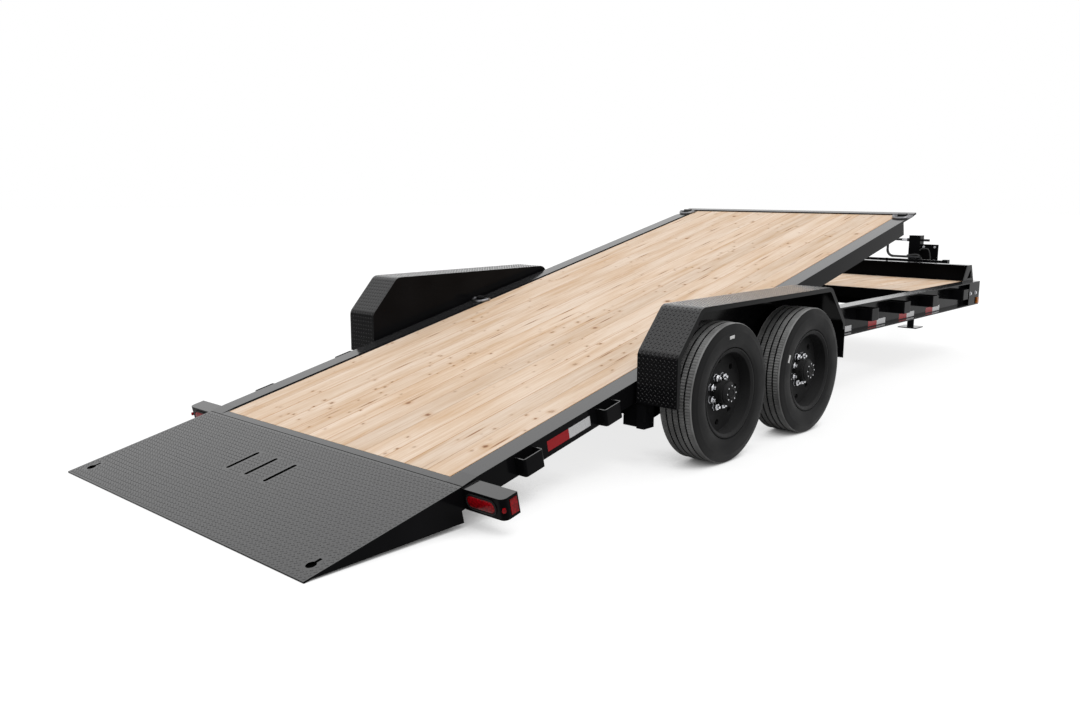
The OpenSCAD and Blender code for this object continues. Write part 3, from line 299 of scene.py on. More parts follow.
def makeRubber(name, look):
    shade = Shade(name)
    point = shade.objectPoint()
    cloud = shade.noise(point, look["cloudScale"], 6.0)
    shade.link(shade.ramp(cloud, [(0.35, look["dark"]), (0.7, look["pale"])]), shade.shader.inputs["Base Color"])
    shade.link(shade.rangeOf(cloud, 0.3, 0.7, *look["rough"]), shade.shader.inputs["Roughness"])
    shade.setSocket("Specular IOR Level", look["level"])
    shade.bump(shade.noise(point, look["grainScale"], 2.0), look["grainStrength"], look["grainDepth"])
    return shade.material


rubber = makeRubber("rubber", rubberLook)
treadRubber = makeRubber("treadRubber", treadRubberLook)

metalLook = {"cloudScale": 80.0,
             "zinc": {"bright": (0.72, 0.73, 0.75), "dull": (0.5, 0.5, 0.52), "rough": (0.18, 0.34)},
             "darkSteel": {"bright": (0.06, 0.06, 0.063), "dull": (0.03, 0.03, 0.032), "rough": (0.3, 0.45)},
             "ringSteel": {"bright": (0.3, 0.3, 0.31), "dull": (0.18, 0.18, 0.19), "rough": (0.3, 0.45)}}


def makeMetal(name, looks):
    look = looks[name]
    shade = Shade(name)
    cloud = shade.noise(shade.objectPoint(), looks["cloudScale"], 5.0)
    shade.link(shade.ramp(cloud, [(0.3, look["dull"]), (0.7, look["bright"])]), shade.shader.inputs["Base Color"])
    shade.setSocket("Metallic", 1.0)
    shade.link(shade.rangeOf(cloud, 0.3, 0.7, *look["rough"]), shade.shader.inputs["Roughness"])
    return shade.material


zinc, darkSteel, ringSteel = [makeMetal(name, metalLook) for name in ("zinc", "darkSteel", "ringSteel")]

# lenses and tape: small cells, a little deeper in colour toward their edges
lensLook = {"red": (0.47, 0.004, 0.010), "amber": (0.85, 0.22, 0.008), "cells": 85.0, "deepFrom": 0.7, "deep": 0.45,
            "rough": 0.14, "level": 0.12, "bump": 0.2, "bumpDepth": 0.001}
tapeShadeLook = {"red": (0.46, 0.010, 0.016), "white": (0.85, 0.85, 0.86), "mark": (0.95, 0.95, 0.94),
                 "cells": 260.0, "deepFrom": 0.8, "deep": 0.8, "rough": 0.3, "level": 0.15}


def makeCells(name, colour, look):
    shade = Shade(name)
    cell = shade.add("ShaderNodeTexVoronoi", feature="F1")
    cell.inputs["Scale"].default_value = look["cells"]
    shade.link(shade.objectPoint(), cell.inputs["Vector"])
    deep = tuple(c * look["deep"] for c in colour)
    colours = shade.ramp(cell.outputs["Distance"], [(0.1, colour), (look["deepFrom"], deep)])
    shade.link(colours, shade.shader.inputs["Base Color"])
    shade.setSocket("Roughness", look["rough"])
    shade.setSocket("Specular IOR Level", look["level"])
    if "bump" in look:
        shade.bump(cell.outputs["Distance"], look["bump"], look["bumpDepth"])
    return shade.material


redLens = makeCells("redLens", lensLook["red"], lensLook)
amberLens = makeCells("amberLens", lensLook["amber"], lensLook)
markWhite = makeCells("markWhite", tapeShadeLook["mark"], tapeShadeLook)
redTape = makeCells("redTape", tapeShadeLook["red"], tapeShadeLook)
whiteTape = makeCells("whiteTape", tapeShadeLook["white"], tapeShadeLook)

slotMaterials = {"black_paint": blackPaint, "tread_plate": treadPaint, "wheel_paint": wheelPaint,
                 "hub_paint": wheelPaint, "plated_steel": darkSteel, "bright_rod": zinc, "planks": bedWood,
                 "tyre": rubber, "red_lens": redLens, "amber_lens": amberLens}
for part in frame["record"]["subparts"]:
    mesh = nodes[part["node"]].data
    mesh.materials.clear()
    mesh.materials.append(slotMaterials[part["material_slot"]])
nodes["front_planks"].data.materials[0] = frontWood
nodes["jack_leg"].data.materials[0] = blackPaint
nodes["tie_rings"].data.materials[0] = ringSteel
for fender in ("fender_left", "fender_right"):
    nodes[fender].data.materials[0] = fenderPaint
print("materials set")

# small pieces are gathered as points and faces, in metres
class Gather:
    def __init__(self):
        self.points = []
        self.faces = []

    def put(self, points, faces):
        base = len(self.points)
        self.points.extend(points)
        self.faces.extend([tuple(base + i for i in face) for face in faces])

    def box(self, matrix, low, high):
        corners = [matrix @ Vector((x, y, z))
                   for z in (low[2], high[2]) for y in (low[1], high[1]) for x in (low[0], high[0])]
        self.put(corners, [(0, 2, 3, 1), (4, 5, 7, 6), (0, 1, 5, 4), (2, 6, 7, 3), (0, 4, 6, 2), (1, 3, 7, 5)])

    # rings of equal length joined one to the next, with both ends closed
    def skin(self, rings):
        count = len(rings[0])
        faces = []
        for k in range(len(rings) - 1):
            for i in range(count):
                j = (i + 1) % count
                faces.append((k * count + i, k * count + j, (k + 1) * count + j, (k + 1) * count + i))
        faces.append(tuple(reversed(range(count))))
        faces.append(tuple((len(rings) - 1) * count + i for i in range(count)))
        self.put([p for ring in rings for p in ring], faces)

    # steps are pairs of distance along the matrix's Z and radius
    def turned(self, matrix, steps, sides=16, twist=0.0):
        turns = [twist + 2 * math.pi * i / sides for i in range(sides)]
        self.skin([[matrix @ Vector((r * math.cos(t), r * math.sin(t), z)) for t in turns] for z, r in steps])

    def tube(self, path, radius, sides=12):
        rings = []
        for i, point in enumerate(path):
            ahead = (path[min(i + 1, len(path) - 1)] - path[max(i - 1, 0)]).normalized()
            side = ahead.cross(Vector((0, 0, 1)) if abs(ahead.z) < 0.9 else Vector((1, 0, 0))).normalized()
            up = side.cross(ahead)
            rings.append([point + radius * (math.cos(t) * side + math.sin(t) * up)
                          for t in [2 * math.pi * k / sides for k in range(sides)]])
        self.skin([list(reversed(ring)) for ring in rings])

    def mesh(self, name, smooth=None):
        mesh = bpy.data.meshes.new(name)
        mesh.from_pydata([tuple(p) for p in self.points], [], self.faces)
        bm = bmesh.new()
        bm.from_mesh(mesh)
        bmesh.ops.recalc_face_normals(bm, faces=bm.faces)
        bm.to_mesh(mesh)
        bm.free()
        if smooth is not None:
            mesh.shade_smooth()
            mesh.set_sharp_from_angle(angle=math.radians(smooth))
        return mesh


sink = 0.001  # how far a small piece reaches into what it stands on


def toward(place, direction):
    return Matrix.Translation(place) @ Vector(direction).to_track_quat("Z", "Y").to_matrix().to_4x4()


def curved(points, steps=8):
    path = []
    spare = [points[0]] + list(points) + [points[-1]]
    for i in range(1, len(spare) - 2):
        a, b, c, d = [Vector(p) for p in spare[i - 1:i + 3]]
        for k in range(steps):
            t = k / steps
            bend, twist = 2 * a - 5 * b + 4 * c - d, 3 * b - a - 3 * c + d
            path.append(0.5 * (2 * b + (c - a) * t + bend * t * t + twist * t ** 3))
    path.append(Vector(points[-1]))
    return path


# tyres with five ribs, in place of the plain CAD tyres
tyreLook = {"seat": 0.222, "outer": 0.368, "width": 0.215, "segments": 288, "ribs": 5, "rib": 0.0268,
            "groove": 0.009, "grooveDepth": 0.009, "grooveSide": 0.0015, "sipe": 2, "sipeDepth": 0.003,
            "crown": 0.0035, "crownPower": 2.5, "treadDepth": 0.0078,
            # the wall from the seat to the tread, as shares of its height and of the tyre's width
            "wall": [(0.0, 0.40), (0.10, 0.41), (0.13, 0.455), (0.16, 0.462), (0.18, 0.470), (0.205, 0.470),
                     (0.22, 0.476), (0.34, 0.492), (0.455, 0.498), (0.572, 0.4985), (0.66, 0.494), (0.70, 0.4945),
                     (0.72, 0.4885), (0.80, 0.479), (0.88, 0.464), (0.925, 0.452), (0.955, 0.438), (0.978, 0.420),
                     (0.988, 0.405)],
            # white marks on the right walls: place round the wheel and half width, in degrees
            "marks": {"rear_right": (94.3, 4.4), "front_right": (159.5, 4.4)}, "markShare": (0.45, 0.58)}


def makeTyre(name, look):
    height = look["outer"] - look["seat"]
    side = [(look["seat"] + h * height, w * look["width"], False) for h, w in look["wall"]]
    half = look["ribs"] / 2 * look["rib"] + (look["ribs"] - 1) / 2 * look["groove"]
    top = []
    for k in range(look["ribs"]):
        left = half - k * (look["rib"] + look["groove"])
        right = left - look["rib"]
        for y in (left, right):
            top.append((look["outer"] - look["crown"] * abs(y / half) ** look["crownPower"], y, True))
        if k < look["ribs"] - 1:
            bottom = look["outer"] - look["grooveDepth"]
            top.append((bottom, right - look["grooveSide"], False))
            top.append((bottom, right - look["groove"] + look["grooveSide"], False))
    line = side + top + [(r, -y, cut) for r, y, cut in reversed(side)]
    centre = Vector(joints["wheel_" + name + "_spin"]["pos_m"])
    shape = Gather()
    count = look["segments"]
    points = []
    for k in range(count):
        turn = 2 * math.pi * k / count
        for r, y, cut in line:
            if cut and k % look["sipe"] == 0:
                r -= look["sipeDepth"]
            points.append(centre + Vector((r * math.cos(turn), y, r * math.sin(turn))))
    size = len(line)
    faces = []
    for k in range(count):
        after = (k + 1) % count
        for i in range(size):
            j = (i + 1) % size
            faces.append((k * size + i, k * size + j, after * size + j, after * size + i))
    shape.put(points, faces)
    tyre = addPiece("ribbedTyre_" + name, shape.mesh("ribbedTyre_" + name, 32), "wheel_" + name, rubber)
    tyre.data.materials.append(treadRubber)
    tyre.data.materials.append(markWhite)
    for face in tyre.data.polygons:
        ends = [tyre.data.vertices[i].co - centre for i in face.vertices]
        # faces of the tread take the paler tread rubber, dust with a painted highlight
        if min(math.hypot(p.x, p.z) for p in ends) > look["outer"] - look["treadDepth"]:
            face.material_index = 1
        place = face.center - centre
        share = (math.hypot(place.x, place.z) - look["seat"]) / height
        if name in look["marks"] and place.y < 0 and look["markShare"][0] < share < look["markShare"][1]:
            middle, half = look["marks"][name]
            if abs(math.degrees(math.atan2(place.z, place.x)) - middle) < half:
                face.material_index = 2
    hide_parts("tyre_" + name)


for name in wheelNames:
    makeTyre(name, tyreLook)

# bright nuts over the CAD nuts, and the hub's cap with its bolts
nutLook = {"circle": 0.08255, "count": 8, "across": 0.0195, "tall": 0.0235, "stud": 0.0088, "studTall": 0.0355,
           "capCircle": 0.041, "capBolts": 8, "bolt": 0.0042, "boltTall": 0.004, "discIn": 0.0195, "hubOut": 0.08,
           "cap": [(-0.001, 0.031), (0.003, 0.031), (0.005, 0.028), (0.005, 0.021), (0.002, 0.019), (0.002, 0.009),
                   (0.004, 0.007)],
           "washer": 0.004, "washerWide": 1.12, "chamfer": 0.003, "chamferTo": 0.86, "studTip": 0.002, "studTo": 0.8}


def makeNuts(name, look):
    centre = Vector(joints["wheel_" + name + "_spin"]["pos_m"])
    side = 1 if name.endswith("left") else -1
    disc = centre + Vector((0, side * look["discIn"], 0))
    nuts, bolts, cap = Gather(), Gather(), Gather()
    for i in range(look["count"]):
        turn = 2 * math.pi * (i + 0.5) / look["count"]
        place = disc + Vector((look["circle"] * math.cos(turn), 0, look["circle"] * math.sin(turn)))
        a, tall, stud, washer = look["across"], look["tall"], look["stud"], look["washer"]
        wide, tip = a * look["washerWide"], look["studTip"]
        nuts.turned(toward(place, (0, side, 0)), [(0, wide), (washer, wide), (washer, a), (tall - look["chamfer"], a),
                                                  (tall, a * look["chamferTo"])], 6, turn)
        nuts.turned(toward(place, (0, side, 0)), [(tall - tip, stud), (look["studTall"] - tip, stud),
                                                  (look["studTall"], stud * look["studTo"])], 14)
    hubEnd = disc + Vector((0, side * look["hubOut"], 0))
    for i in range(look["capBolts"]):
        turn = 2 * math.pi * i / look["capBolts"]
        place = hubEnd + look["capCircle"] * Vector((math.cos(turn), 0, math.sin(turn)))
        bolts.turned(toward(place, (0, side, 0)), [(-sink, look["bolt"]), (look["boltTall"], look["bolt"])], 6)
    cap.turned(toward(hubEnd, (0, side, 0)), look["cap"], 28)
    addPiece("wheelNuts_" + name, nuts.mesh("wheelNuts_" + name, 35), "wheel_" + name, zinc)
    addPiece("capBolts_" + name, bolts.mesh("capBolts_" + name, 35), "wheel_" + name, zinc)
    addPiece("hubCap_" + name, cap.mesh("hubCap_" + name, 35), "wheel_" + name, wheelPaint)


for name in wheelNames:
    makeNuts(name, nutLook)
print("wheels detailed")

# raised lugs of the tread plate: pointed bars that lean left and right by turns
lugLook = {"long": 0.0082, "wide": 0.0033, "tall": 0.0019, "tailTall": 0.0014, "pitch": 0.0127, "edge": 0.008,
           "crest": 0.3, "crestLong": 0.6, "sunk": 0.0003, "lean": 45, "tailFront": -2.539}
lugOutline = [(-1, 0), (-0.55, 0.72), (0, 1), (0.55, 0.72), (1, 0), (0.55, -0.72), (0, -1), (-0.55, -0.72)]


def addLug(shape, place, alongAxis, acrossAxis, up, lean, look):
    turn = math.radians(look["lean"] if lean else -look["lean"])
    first = math.cos(turn) * alongAxis + math.sin(turn) * acrossAxis
    second = up.cross(first)
    rings = []
    for share, lift in ((1.0, -look["sunk"]), (look["crest"], look["tall"])):
        long = look["long"] * (look["crestLong"] + (1 - look["crestLong"]) * share)
        wide = look["wide"] * share
        rings.append([place + first * x * long + second * y * wide + up * lift for x, y in lugOutline])
    count = len(lugOutline)
    faces = [(i, (i + 1) % count, count + (i + 1) % count, count + i) for i in range(count)]
    shape.put(rings[0] + rings[1], faces + [tuple(count + i for i in range(count))])


tailLow, tailHigh = bedBox("tail_plate")
tailLook = {"slotS": -2.831, "slotHalf": 0.09, "slotYs": (-0.105, 0.052, 0.209), "slotSide": 0.011,
            "holeS": -3.252, "holeY": 0.935, "holeR": 0.022, "neck": 0.048, "neckHalf": 0.008, "room": 0.014,
            "panDeep": 0.0105, "panThick": 0.0015}


def overHole(s, y, look):
    room = look["room"]
    for slotY in look["slotYs"]:
        if abs(s - look["slotS"]) < look["slotHalf"] + room and abs(y - slotY) < look["slotSide"] + room:
            return True
    if math.hypot(s - look["holeS"], abs(y) - look["holeY"]) < look["holeR"] + room:
        return True
    inNeck = look["holeS"] < s < look["holeS"] + look["neck"] + room
    return inNeck and abs(abs(y) - look["holeY"]) < look["neckHalf"] + room


def makeTailLugs(look, holes):
    shape = Gather()
    turned = bedMatrix.to_3x3()
    axes = [turned @ Vector(v) for v in ((1, 0, 0), (0, 1, 0), (0, 0, 1))]
    rows = int((look["tailFront"] - tailLow.x - 2 * look["edge"]) / look["pitch"])
    columns = int((tailHigh.y - tailLow.y - 2 * look["edge"]) / look["pitch"])
    for i in range(rows + 1):
        for k in range(columns + 1):
            s = (tailLow.x + look["tailFront"]) / 2 + (i - rows / 2) * look["pitch"]
            y = (tailLow.y + tailHigh.y) / 2 + (k - columns / 2) * look["pitch"]
            if (i + k) % 2 == 0 and not overHole(s, y, holes):
                addLug(shape, bedMatrix @ Vector((s, y, tailHigh.z)), *axes, i % 2, look)
    addPiece("tailLugs", shape.mesh("tailLugs"), "bed", treadPaint)


makeTailLugs({**lugLook, "tall": lugLook["tailTall"]}, tailLook)

# near-black paint without gloss: painted shade on the walls of the slots and keyholes and on the pans below them
holePaint = makePaint("holePaint", {**paintLook, "dark": (0.001, 0.001, 0.001), "pale": (0.002, 0.002, 0.002),
                                    "topSheen": (0.002, 0.002, 0.002), "roughLow": 0.5, "roughHigh": 0.7,
                                    "gloss": (0.0, 0.0)})


def paintHoleShade(holes):
    mesh = nodes["tail_plate"].data
    mesh.materials.append(holePaint)
    # the upright walls of the slots and keyholes take the painted shade
    for face in mesh.polygons:
        place = bedInverse @ face.center
        if abs((bedInverse.to_3x3() @ face.normal).z) < 0.3 and overHole(place.x, place.y, holes):
            face.material_index = 1


paintHoleShade(tailLook)


# shallow dark pans below the slots and keyholes: dark sheets that stand in for the shade under the plate
def makeShadePans(holes):
    shadePans = Gather()
    room, top, thick = holes["room"], tailHigh.z - holes["panDeep"], holes["panThick"]
    for y in holes["slotYs"]:
        shadePans.box(bedMatrix, (holes["slotS"] - holes["slotHalf"] - room, y - holes["slotSide"] - room, top - thick),
                 (holes["slotS"] + holes["slotHalf"] + room, y + holes["slotSide"] + room, top))
    for side in (-1, 1):
        y = side * holes["holeY"]
        shadePans.box(bedMatrix, (holes["holeS"] - holes["holeR"] - room / 2, y - holes["holeR"] - room / 2, top - thick),
                 (holes["holeS"] + holes["neck"] + room, y + holes["holeR"] + room / 2, top))
    addPiece("holeShadePans", shadePans.mesh("holeShadePans"), "bed", holePaint)


makeShadePans(tailLook)

fenderLook = {"long": 1.816, "slope": 0.203, "top": 0.834, "knee": 0.611, "low": 0.384,
              "rearLow": 0.356, "bend": 0.062, "bendSteps": 24, "topTall": 0.0009, "topFrom": 0.9}


def fenderPath(look):
    half, topHalf = look["long"] / 2, look["long"] / 2 - look["slope"]
    corners = [Vector((-half, look["rearLow"])), Vector((-half, look["knee"])), Vector((-topHalf, look["top"])),
               Vector((topHalf, look["top"])), Vector((half, look["knee"])), Vector((half, look["low"]))]
    path = [corners[0]]
    for a, b, c in zip(corners, corners[1:], corners[2:]):
        first, second = (a - b).normalized(), (c - b).normalized()
        halfTurn = math.acos(first.dot(second)) / 2
        middle = b + (first + second).normalized() * look["bend"] / math.sin(halfTurn)
        start = b + first * look["bend"] / math.tan(halfTurn) - middle
        end = b + second * look["bend"] / math.tan(halfTurn) - middle
        sweep = start.angle_signed(end)
        for i in range(look["bendSteps"] + 1):
            turn = -sweep * i / look["bendSteps"]
            path.append(middle + Vector((start.x * math.cos(turn) - start.y * math.sin(turn),
                                         start.x * math.sin(turn) + start.y * math.cos(turn))))
    return path + [corners[-1]]


def makeFenderLugs(name, look, place):
    low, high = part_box(name)
    middle = (low.x + high.x) / 2
    path = fenderPath(place)
    lengths = [0.0]
    for a, b in zip(path, path[1:]):
        lengths.append(lengths[-1] + (b - a).length)
    rows = int((lengths[-1] - 2 * look["edge"]) / look["pitch"])
    columns = int((high.y - low.y - 2 * look["edge"]) / look["pitch"])
    shape = Gather()
    for i in range(rows + 1):
        reach = lengths[-1] / 2 + (i - rows / 2) * look["pitch"]
        k = max(j for j in range(len(lengths) - 1) if lengths[j] <= reach)
        step = path[k + 1] - path[k]
        point = path[k] + step * (reach - lengths[k]) / step.length
        along = Vector((step.x, 0, step.y)).normalized()
        up = Vector((-along.z, 0, along.x))
        # the lugs stand lower on the flat top
        lug = {**look, "tall": place["topTall"]} if up.z > place["topFrom"] else look
        for column in range(columns + 1):
            if (i + column) % 2 == 0:
                y = (low.y + high.y) / 2 + (column - columns / 2) * look["pitch"]
                addLug(shape, Vector((middle + point.x, y, point.y)), along, up.cross(along), up, i % 2, lug)
    addPiece("lugs_" + name, shape.mesh("lugs_" + name), "chassis", fenderPaint)


for name in ("fender_left", "fender_right"):
    makeFenderLugs(name, lugLook, fenderLook)
print("tread lugs set")

# red and white tape on the frame rails and the bed's side beams
# its places along the rails were taken with the pivot at pivotX
tapeLook = {"z": (0.447, 0.487), "thick": 0.0006, "seat": 0.0002, "pivotX": 0.44, "flange": 0.05, "halfWeb": 0.004,
            "red": [(1.300, 1.440), (1.915, 2.063), (2.468, 2.616), (2.998, 3.146)],
            "white": [(1.440, 1.640), (2.063, 2.215), (2.616, 2.764), (3.146, 3.296)],
            "bedRed": (-2.005, -1.852), "bedWhite": (-1.852, -1.694), "bedN": (0.076, 0.126)}


def makeTape(look):
    shift = pivot.x - look["pivotX"]
    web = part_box("rail_left")[1].y - look["flange"] + look["halfWeb"]
    beam = bedBox("bed_beam_left")[1].y
    for colour, slot, material in (("red", "red_lens", redTape), ("white", "bright_rod", whiteTape)):
        rail, bed = Gather(), Gather()
        for side in (-1, 1):
            ys = sorted((side * (web - look["seat"]), side * (web + look["thick"])))
            for start, end in look[colour]:
                rail.box(Matrix.Identity(4), (start + shift, ys[0], look["z"][0]), (end + shift, ys[1], look["z"][1]))
            ys = sorted((side * (beam - look["seat"]), side * (beam + look["thick"])))
            start, end = look["bed" + colour.capitalize()]
            bed.box(bedMatrix, (start, ys[0], look["bedN"][0]), (end, ys[1], look["bedN"][1]))
        addPiece(colour + "RailTape", rail.mesh(colour + "RailTape"), "chassis", material)
        addPiece(colour + "BedTape", bed.mesh(colour + "BedTape"), "bed", material)


makeTape(tapeLook)

# tail lamps: domed oval lenses in rubber rings
lensBox = bedBox("tail_lamps")
# dome and ring are pairs of how far the oval grows and how far it stands out
tailLampLook = {"long": 0.163, "tall": 0.056, "steps": 12,
                "dome": ((-0.001, -0.001), (-0.001, 0.003), (-0.004, 0.006), (-0.010, 0.0078), (-0.018, 0.0088)),
                "ring": ((0.008, -0.001), (0.008, 0.004), (0.005, 0.006), (0.001, 0.006), (-0.0008, 0.004),
                         (-0.0008, 0.0))}


def ovalRing(matrix, long, tall, grow, out, steps):
    straight, radius = (long - tall) / 2, tall / 2 + grow
    ring = []
    for side in (1, -1):
        for i in range(steps + 1):
            turn = -math.pi / 2 + math.pi * i / steps
            y = side * (straight + radius * math.cos(turn))
            ring.append(matrix @ Vector((-out, y, side * radius * math.sin(turn))))
    return ring


def makeTailLamps(look):
    lens, rings = Gather(), Gather()
    middleY = lensBox[1].y - look["long"] / 2
    middleN = (lensBox[0].z + lensBox[1].z) / 2
    for side in (-1, 1):
        matrix = bedMatrix @ Matrix.Translation((lensBox[1].x, side * middleY, middleN))
        for shape, steps in ((lens, look["dome"]), (rings, look["ring"])):
            shape.skin([ovalRing(matrix, look["long"], look["tall"], grow, out, look["steps"]) for grow, out in steps])
    glass = addPiece("tailLenses", lens.mesh("tailLenses", 40), "bed", redLens)
    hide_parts("tail_lamps")
    addPiece("lampRings", rings.mesh("lampRings", 40), "bed", rubber)


makeTailLamps(tailLampLook)

# a dark line where the tread plate starts
bandLook = {"line": lugLook["tailFront"], "half": 0.0018, "tall": 0.0004, "sideRoom": 0.002}


def makeBand(look):
    shape = Gather()
    shape.box(bedMatrix, (look["line"] - look["half"], tailLow.y + look["sideRoom"], tailHigh.z - sink),
              (look["line"] + look["half"], tailHigh.y - look["sideRoom"], tailHigh.z + look["tall"]))
    addPiece("bandLine", shape.mesh("bandLine"), "bed", holePaint)


makeBand(bandLook)

# flat bars on the side beams, standing back from the planks and tapered at both ends
barLook = {"back": 0.017, "tall": 0.005, "endTall": 0.0003, "taper": 0.09, "rearRoom": 0.004, "frontRoom": 0.08,
           "sideRoom": 0.0005}


def makeSideBars(look):
    shape = Gather()
    outer = bedBox("bed_beam_left")[1].y
    for side in (-1, 1):
        ys = sorted((side * (bedPlankHigh.y + look["back"]), side * (outer - look["sideRoom"])))
        rear, front = bandLook["line"] + look["rearRoom"], bedPlankHigh.x - look["frontRoom"]
        low, rings = tailHigh.z - sink, []
        for s, top in ((rear, look["endTall"]), (rear + look["taper"], look["tall"]),
                       (front - look["taper"], look["tall"]), (front, look["endTall"])):
            high = tailHigh.z + top
            rings.append([bedMatrix @ Vector((s, y, n))
                          for y, n in ((ys[0], low), (ys[1], low), (ys[1], high), (ys[0], high))])
        shape.skin(rings)
    addPiece("sideBars", shape.mesh("sideBars"), "bed", blackPaint)


makeSideBars(barLook)

# bolts and lines on the valve plate
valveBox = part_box("valve_plate")
hoseRubber = makeRubber("hoseRubber", {**rubberLook, "dark": (0.04, 0.04, 0.041), "pale": (0.07, 0.07, 0.071)})
# the hoses' points are shares of the plate's width, from its left edge, and of its height, from its top
valveLook = {"bolts": [(-0.05, 0.072), (0.062, 0.072)], "boltR": 0.011, "washer": (0.003, 1.3), "boltTall": 0.011,
             "stud": (0.006, 0.010, 0.02), "proud": 0.02,
             "hoses": [(0.006, [(0.05, 0.31), (0.15, 0.235), (0.48, 0.215), (0.62, 0.34), (0.69, 0.6), (0.72, 0.82)]),
                       (0.0095, [(-0.7, 0.6), (-0.15, 0.545), (0.06, 0.62), (0.2, 0.8), (0.22, 0.93)])]}


def makeValve(look):
    low, high = valveBox
    middle = (low + high) / 2
    rear = min(low.x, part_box("jack_tube")[0].x) - look["proud"]
    bolts, lines = Gather(), Gather()
    for y, z in look["bolts"]:
        place = Vector((low.x, middle.y + y, middle.z + z))
        (washer, wide), (stud, start, end), radius = look["washer"], look["stud"], look["boltR"]
        bolts.turned(toward(place, (-1, 0, 0)), [(-sink, radius * wide), (washer, radius * wide), (washer, radius),
                                                 (look["boltTall"], radius)], 6)
        bolts.turned(toward(place, (-1, 0, 0)), [(start, stud), (end, stud)], 12)
    for radius, shares in look["hoses"]:
        lines.tube(curved([Vector((rear, high.y - a * (high.y - low.y), high.z - b * (high.z - low.z)))
                           for a, b in shares], 8), radius)
    addPiece("valveBolts", bolts.mesh("valveBolts", 35), "chassis", zinc)
    addPiece("valveHoses", lines.mesh("valveHoses", 50), "chassis", hoseRubber)


makeValve(valveLook)

# bolts on the front closing plates, and the bright collar of the crank
fittingLook = {"back": (0.226, 0.097), "up": 0.098, "washer": 0.017, "washerTall": 0.0035, "head": 0.0125,
               "tall": 0.012, "collarY": (0.092, 0.142), "collarR": 0.0178, "collarIn": 0.010, "collarUp": 0.0008}


def makeFittings(look):
    low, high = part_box("corner_boxes")
    bolts, collar = Gather(), Gather()
    for side in (-1, 1):
        for back in look["back"]:
            place = Vector((high.x - back, side * high.y, low.z + look["up"]))
            bolts.turned(toward(place, (0, side, 0)), [(-sink, look["washer"]), (look["washerTall"], look["washer"]),
                                                       (look["washerTall"], look["head"]),
                                                       (look["tall"], look["head"])], 6)
    addPiece("cornerBolts", bolts.mesh("cornerBolts", 35), "chassis", zinc)
    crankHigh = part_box("jack_crank")[1]
    postLow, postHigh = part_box("jack_tube")
    centre = Vector(((postLow.x + postHigh.x) / 2, 0, crankHigh.z - look["collarR"] + look["collarUp"]))
    (start, end), inner, outer = look["collarY"], look["collarIn"], look["collarR"]
    collar.turned(toward(centre, (0, 1, 0)), [(start, inner), (start, outer), (end, outer), (end, inner)], 24)
    addPiece("crankCollar", collar.mesh("crankCollar", 40), "chassis", zinc)


makeFittings(fittingLook)
print("tape, lamps, band, valve and fittings set")

# floor, world and lamps
# near and open set a painted contact shadow on the floor: how far ambient occlusion looks, and over what range the
# glow fades
floorLook = {"reach": 60.0, "diffuse": (0.27, 0.27, 0.27), "glow": 0.8, "near": 0.4, "open": (0.04, 0.54)}


def makeFloor(look):
    mesh = bpy.data.meshes.new("floor")
    bm = bmesh.new()
    bmesh.ops.create_grid(bm, x_segments=1, y_segments=1, size=look["reach"])
    bm.to_mesh(mesh)
    bm.free()
    shade = Shade("floorWhite")
    tree = shade.tree
    tree.nodes.remove(shade.shader)
    path = shade.add("ShaderNodeLightPath")
    seen = shade.math("MAXIMUM", path.outputs["Is Camera Ray"],
                      shade.math("MAXIMUM", path.outputs["Is Glossy Ray"], path.outputs["Is Transmission Ray"]))
    diffuse = shade.add("ShaderNodeBsdfDiffuse")
    diffuse.inputs["Color"].default_value = (*look["diffuse"], 1)
    glow = shade.add("ShaderNodeEmission")
    # the glow fades where ambient occlusion finds a part close by: a painted contact shadow under and around the
    # trailer
    near = shade.add("ShaderNodeAmbientOcclusion", samples=8)
    near.inputs["Distance"].default_value = look["near"]
    unshadowedGlow = shade.rangeOf(near.outputs["AO"], *look["open"], 0.0, look["glow"])
    shade.link(shade.math("MULTIPLY", seen, unshadowedGlow), glow.inputs["Strength"])
    both = shade.add("ShaderNodeAddShader")
    shade.link(diffuse.outputs[0], both.inputs[0])
    shade.link(glow.outputs[0], both.inputs[1])
    shade.link(both.outputs[0], tree.nodes["Material Output"].inputs["Surface"])
    floor = bpy.data.objects.new("floor", mesh)
    bpy.context.scene.collection.objects.link(floor)
    floor.data.materials.append(shade.material)


makeFloor(floorLook)

worldLook = {"seen": 1.0, "low": 0.2, "high": 1.15}


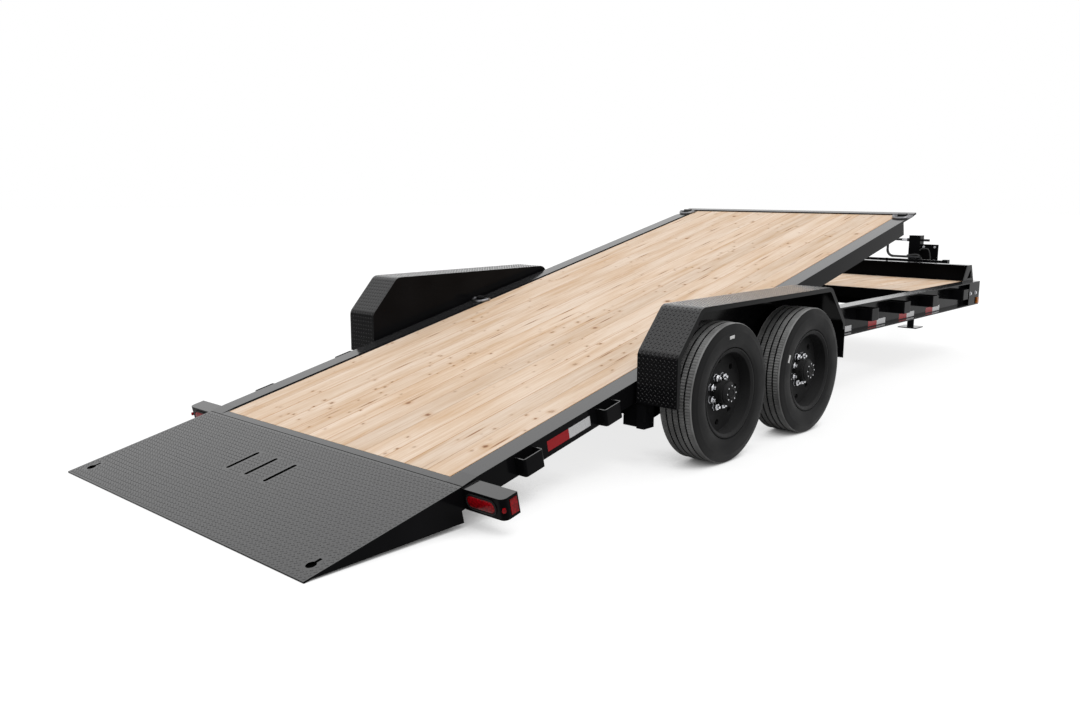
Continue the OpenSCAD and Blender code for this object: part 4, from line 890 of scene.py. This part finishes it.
def makeWorld(look):
    world = bpy.data.worlds.new("studio")
    bpy.context.scene.world = world
    world.use_nodes = True
    tree = world.node_tree
    path = tree.nodes.new("ShaderNodeLightPath")
    seen = tree.nodes.new("ShaderNodeMath")
    seen.operation = "MAXIMUM"
    tree.links.new(path.outputs["Is Camera Ray"], seen.inputs[0])
    also = tree.nodes.new("ShaderNodeMath")
    also.operation = "MAXIMUM"
    tree.links.new(path.outputs["Is Glossy Ray"], also.inputs[0])
    tree.links.new(path.outputs["Is Transmission Ray"], also.inputs[1])
    tree.links.new(also.outputs[0], seen.inputs[1])
    split = tree.nodes.new("ShaderNodeSeparateXYZ")
    tree.links.new(tree.nodes.new("ShaderNodeTexCoord").outputs["Generated"], split.inputs[0])
    height = tree.nodes.new("ShaderNodeMapRange")
    height.inputs["To Min"].default_value = look["low"]
    height.inputs["To Max"].default_value = look["high"]
    tree.links.new(split.outputs[2], height.inputs["Value"])
    strength = tree.nodes.new("ShaderNodeMapRange")
    strength.inputs["To Max"].default_value = look["seen"]
    tree.links.new(height.outputs["Result"], strength.inputs["To Min"])
    tree.links.new(seen.outputs[0], strength.inputs["Value"])
    background = tree.nodes["Background"]
    background.inputs["Color"].default_value = (1, 1, 1, 1)
    tree.links.new(strength.outputs["Result"], background.inputs["Strength"])


makeWorld(worldLook)

lampLook = {"keyTurn": (31, 0, -29), "keyPower": 0.8, "keySpread": 24}


def makeLamps(look):
    key = bpy.data.lights.new("keySun", "SUN")
    key.energy = look["keyPower"]
    key.angle = math.radians(look["keySpread"])
    lamp = bpy.data.objects.new("keySun", key)
    lamp.rotation_euler = [math.radians(a) for a in look["keyTurn"]]
    bpy.context.scene.collection.objects.link(lamp)


makeLamps(lampLook)

cameraLook = {"fromPivot": (-5.1432, -3.8196, 0.8069), "yaw": 42.09, "pitch": -10.01, "roll": 0.28, "lens": 32.07,
              "sensor": 36.0}


def makeCamera(look):
    data = bpy.data.cameras.new("photoCamera")
    data.lens = look["lens"]
    data.sensor_width = look["sensor"]
    data.sensor_fit = "HORIZONTAL"
    camera = bpy.data.objects.new("photoCamera", data)
    camera.location = pivot + Vector(look["fromPivot"])
    aim = Euler((math.radians(90 + look["pitch"]), 0, math.radians(look["yaw"] - 90))).to_matrix()
    camera.rotation_euler = (aim @ Matrix.Rotation(math.radians(look["roll"]), 3, "Z")).to_euler()
    bpy.context.scene.collection.objects.link(camera)
    bpy.context.scene.camera = camera


makeCamera(cameraLook)
bpy.context.scene.view_settings.view_transform = "Standard"
print("floor, world, lamps and camera set")
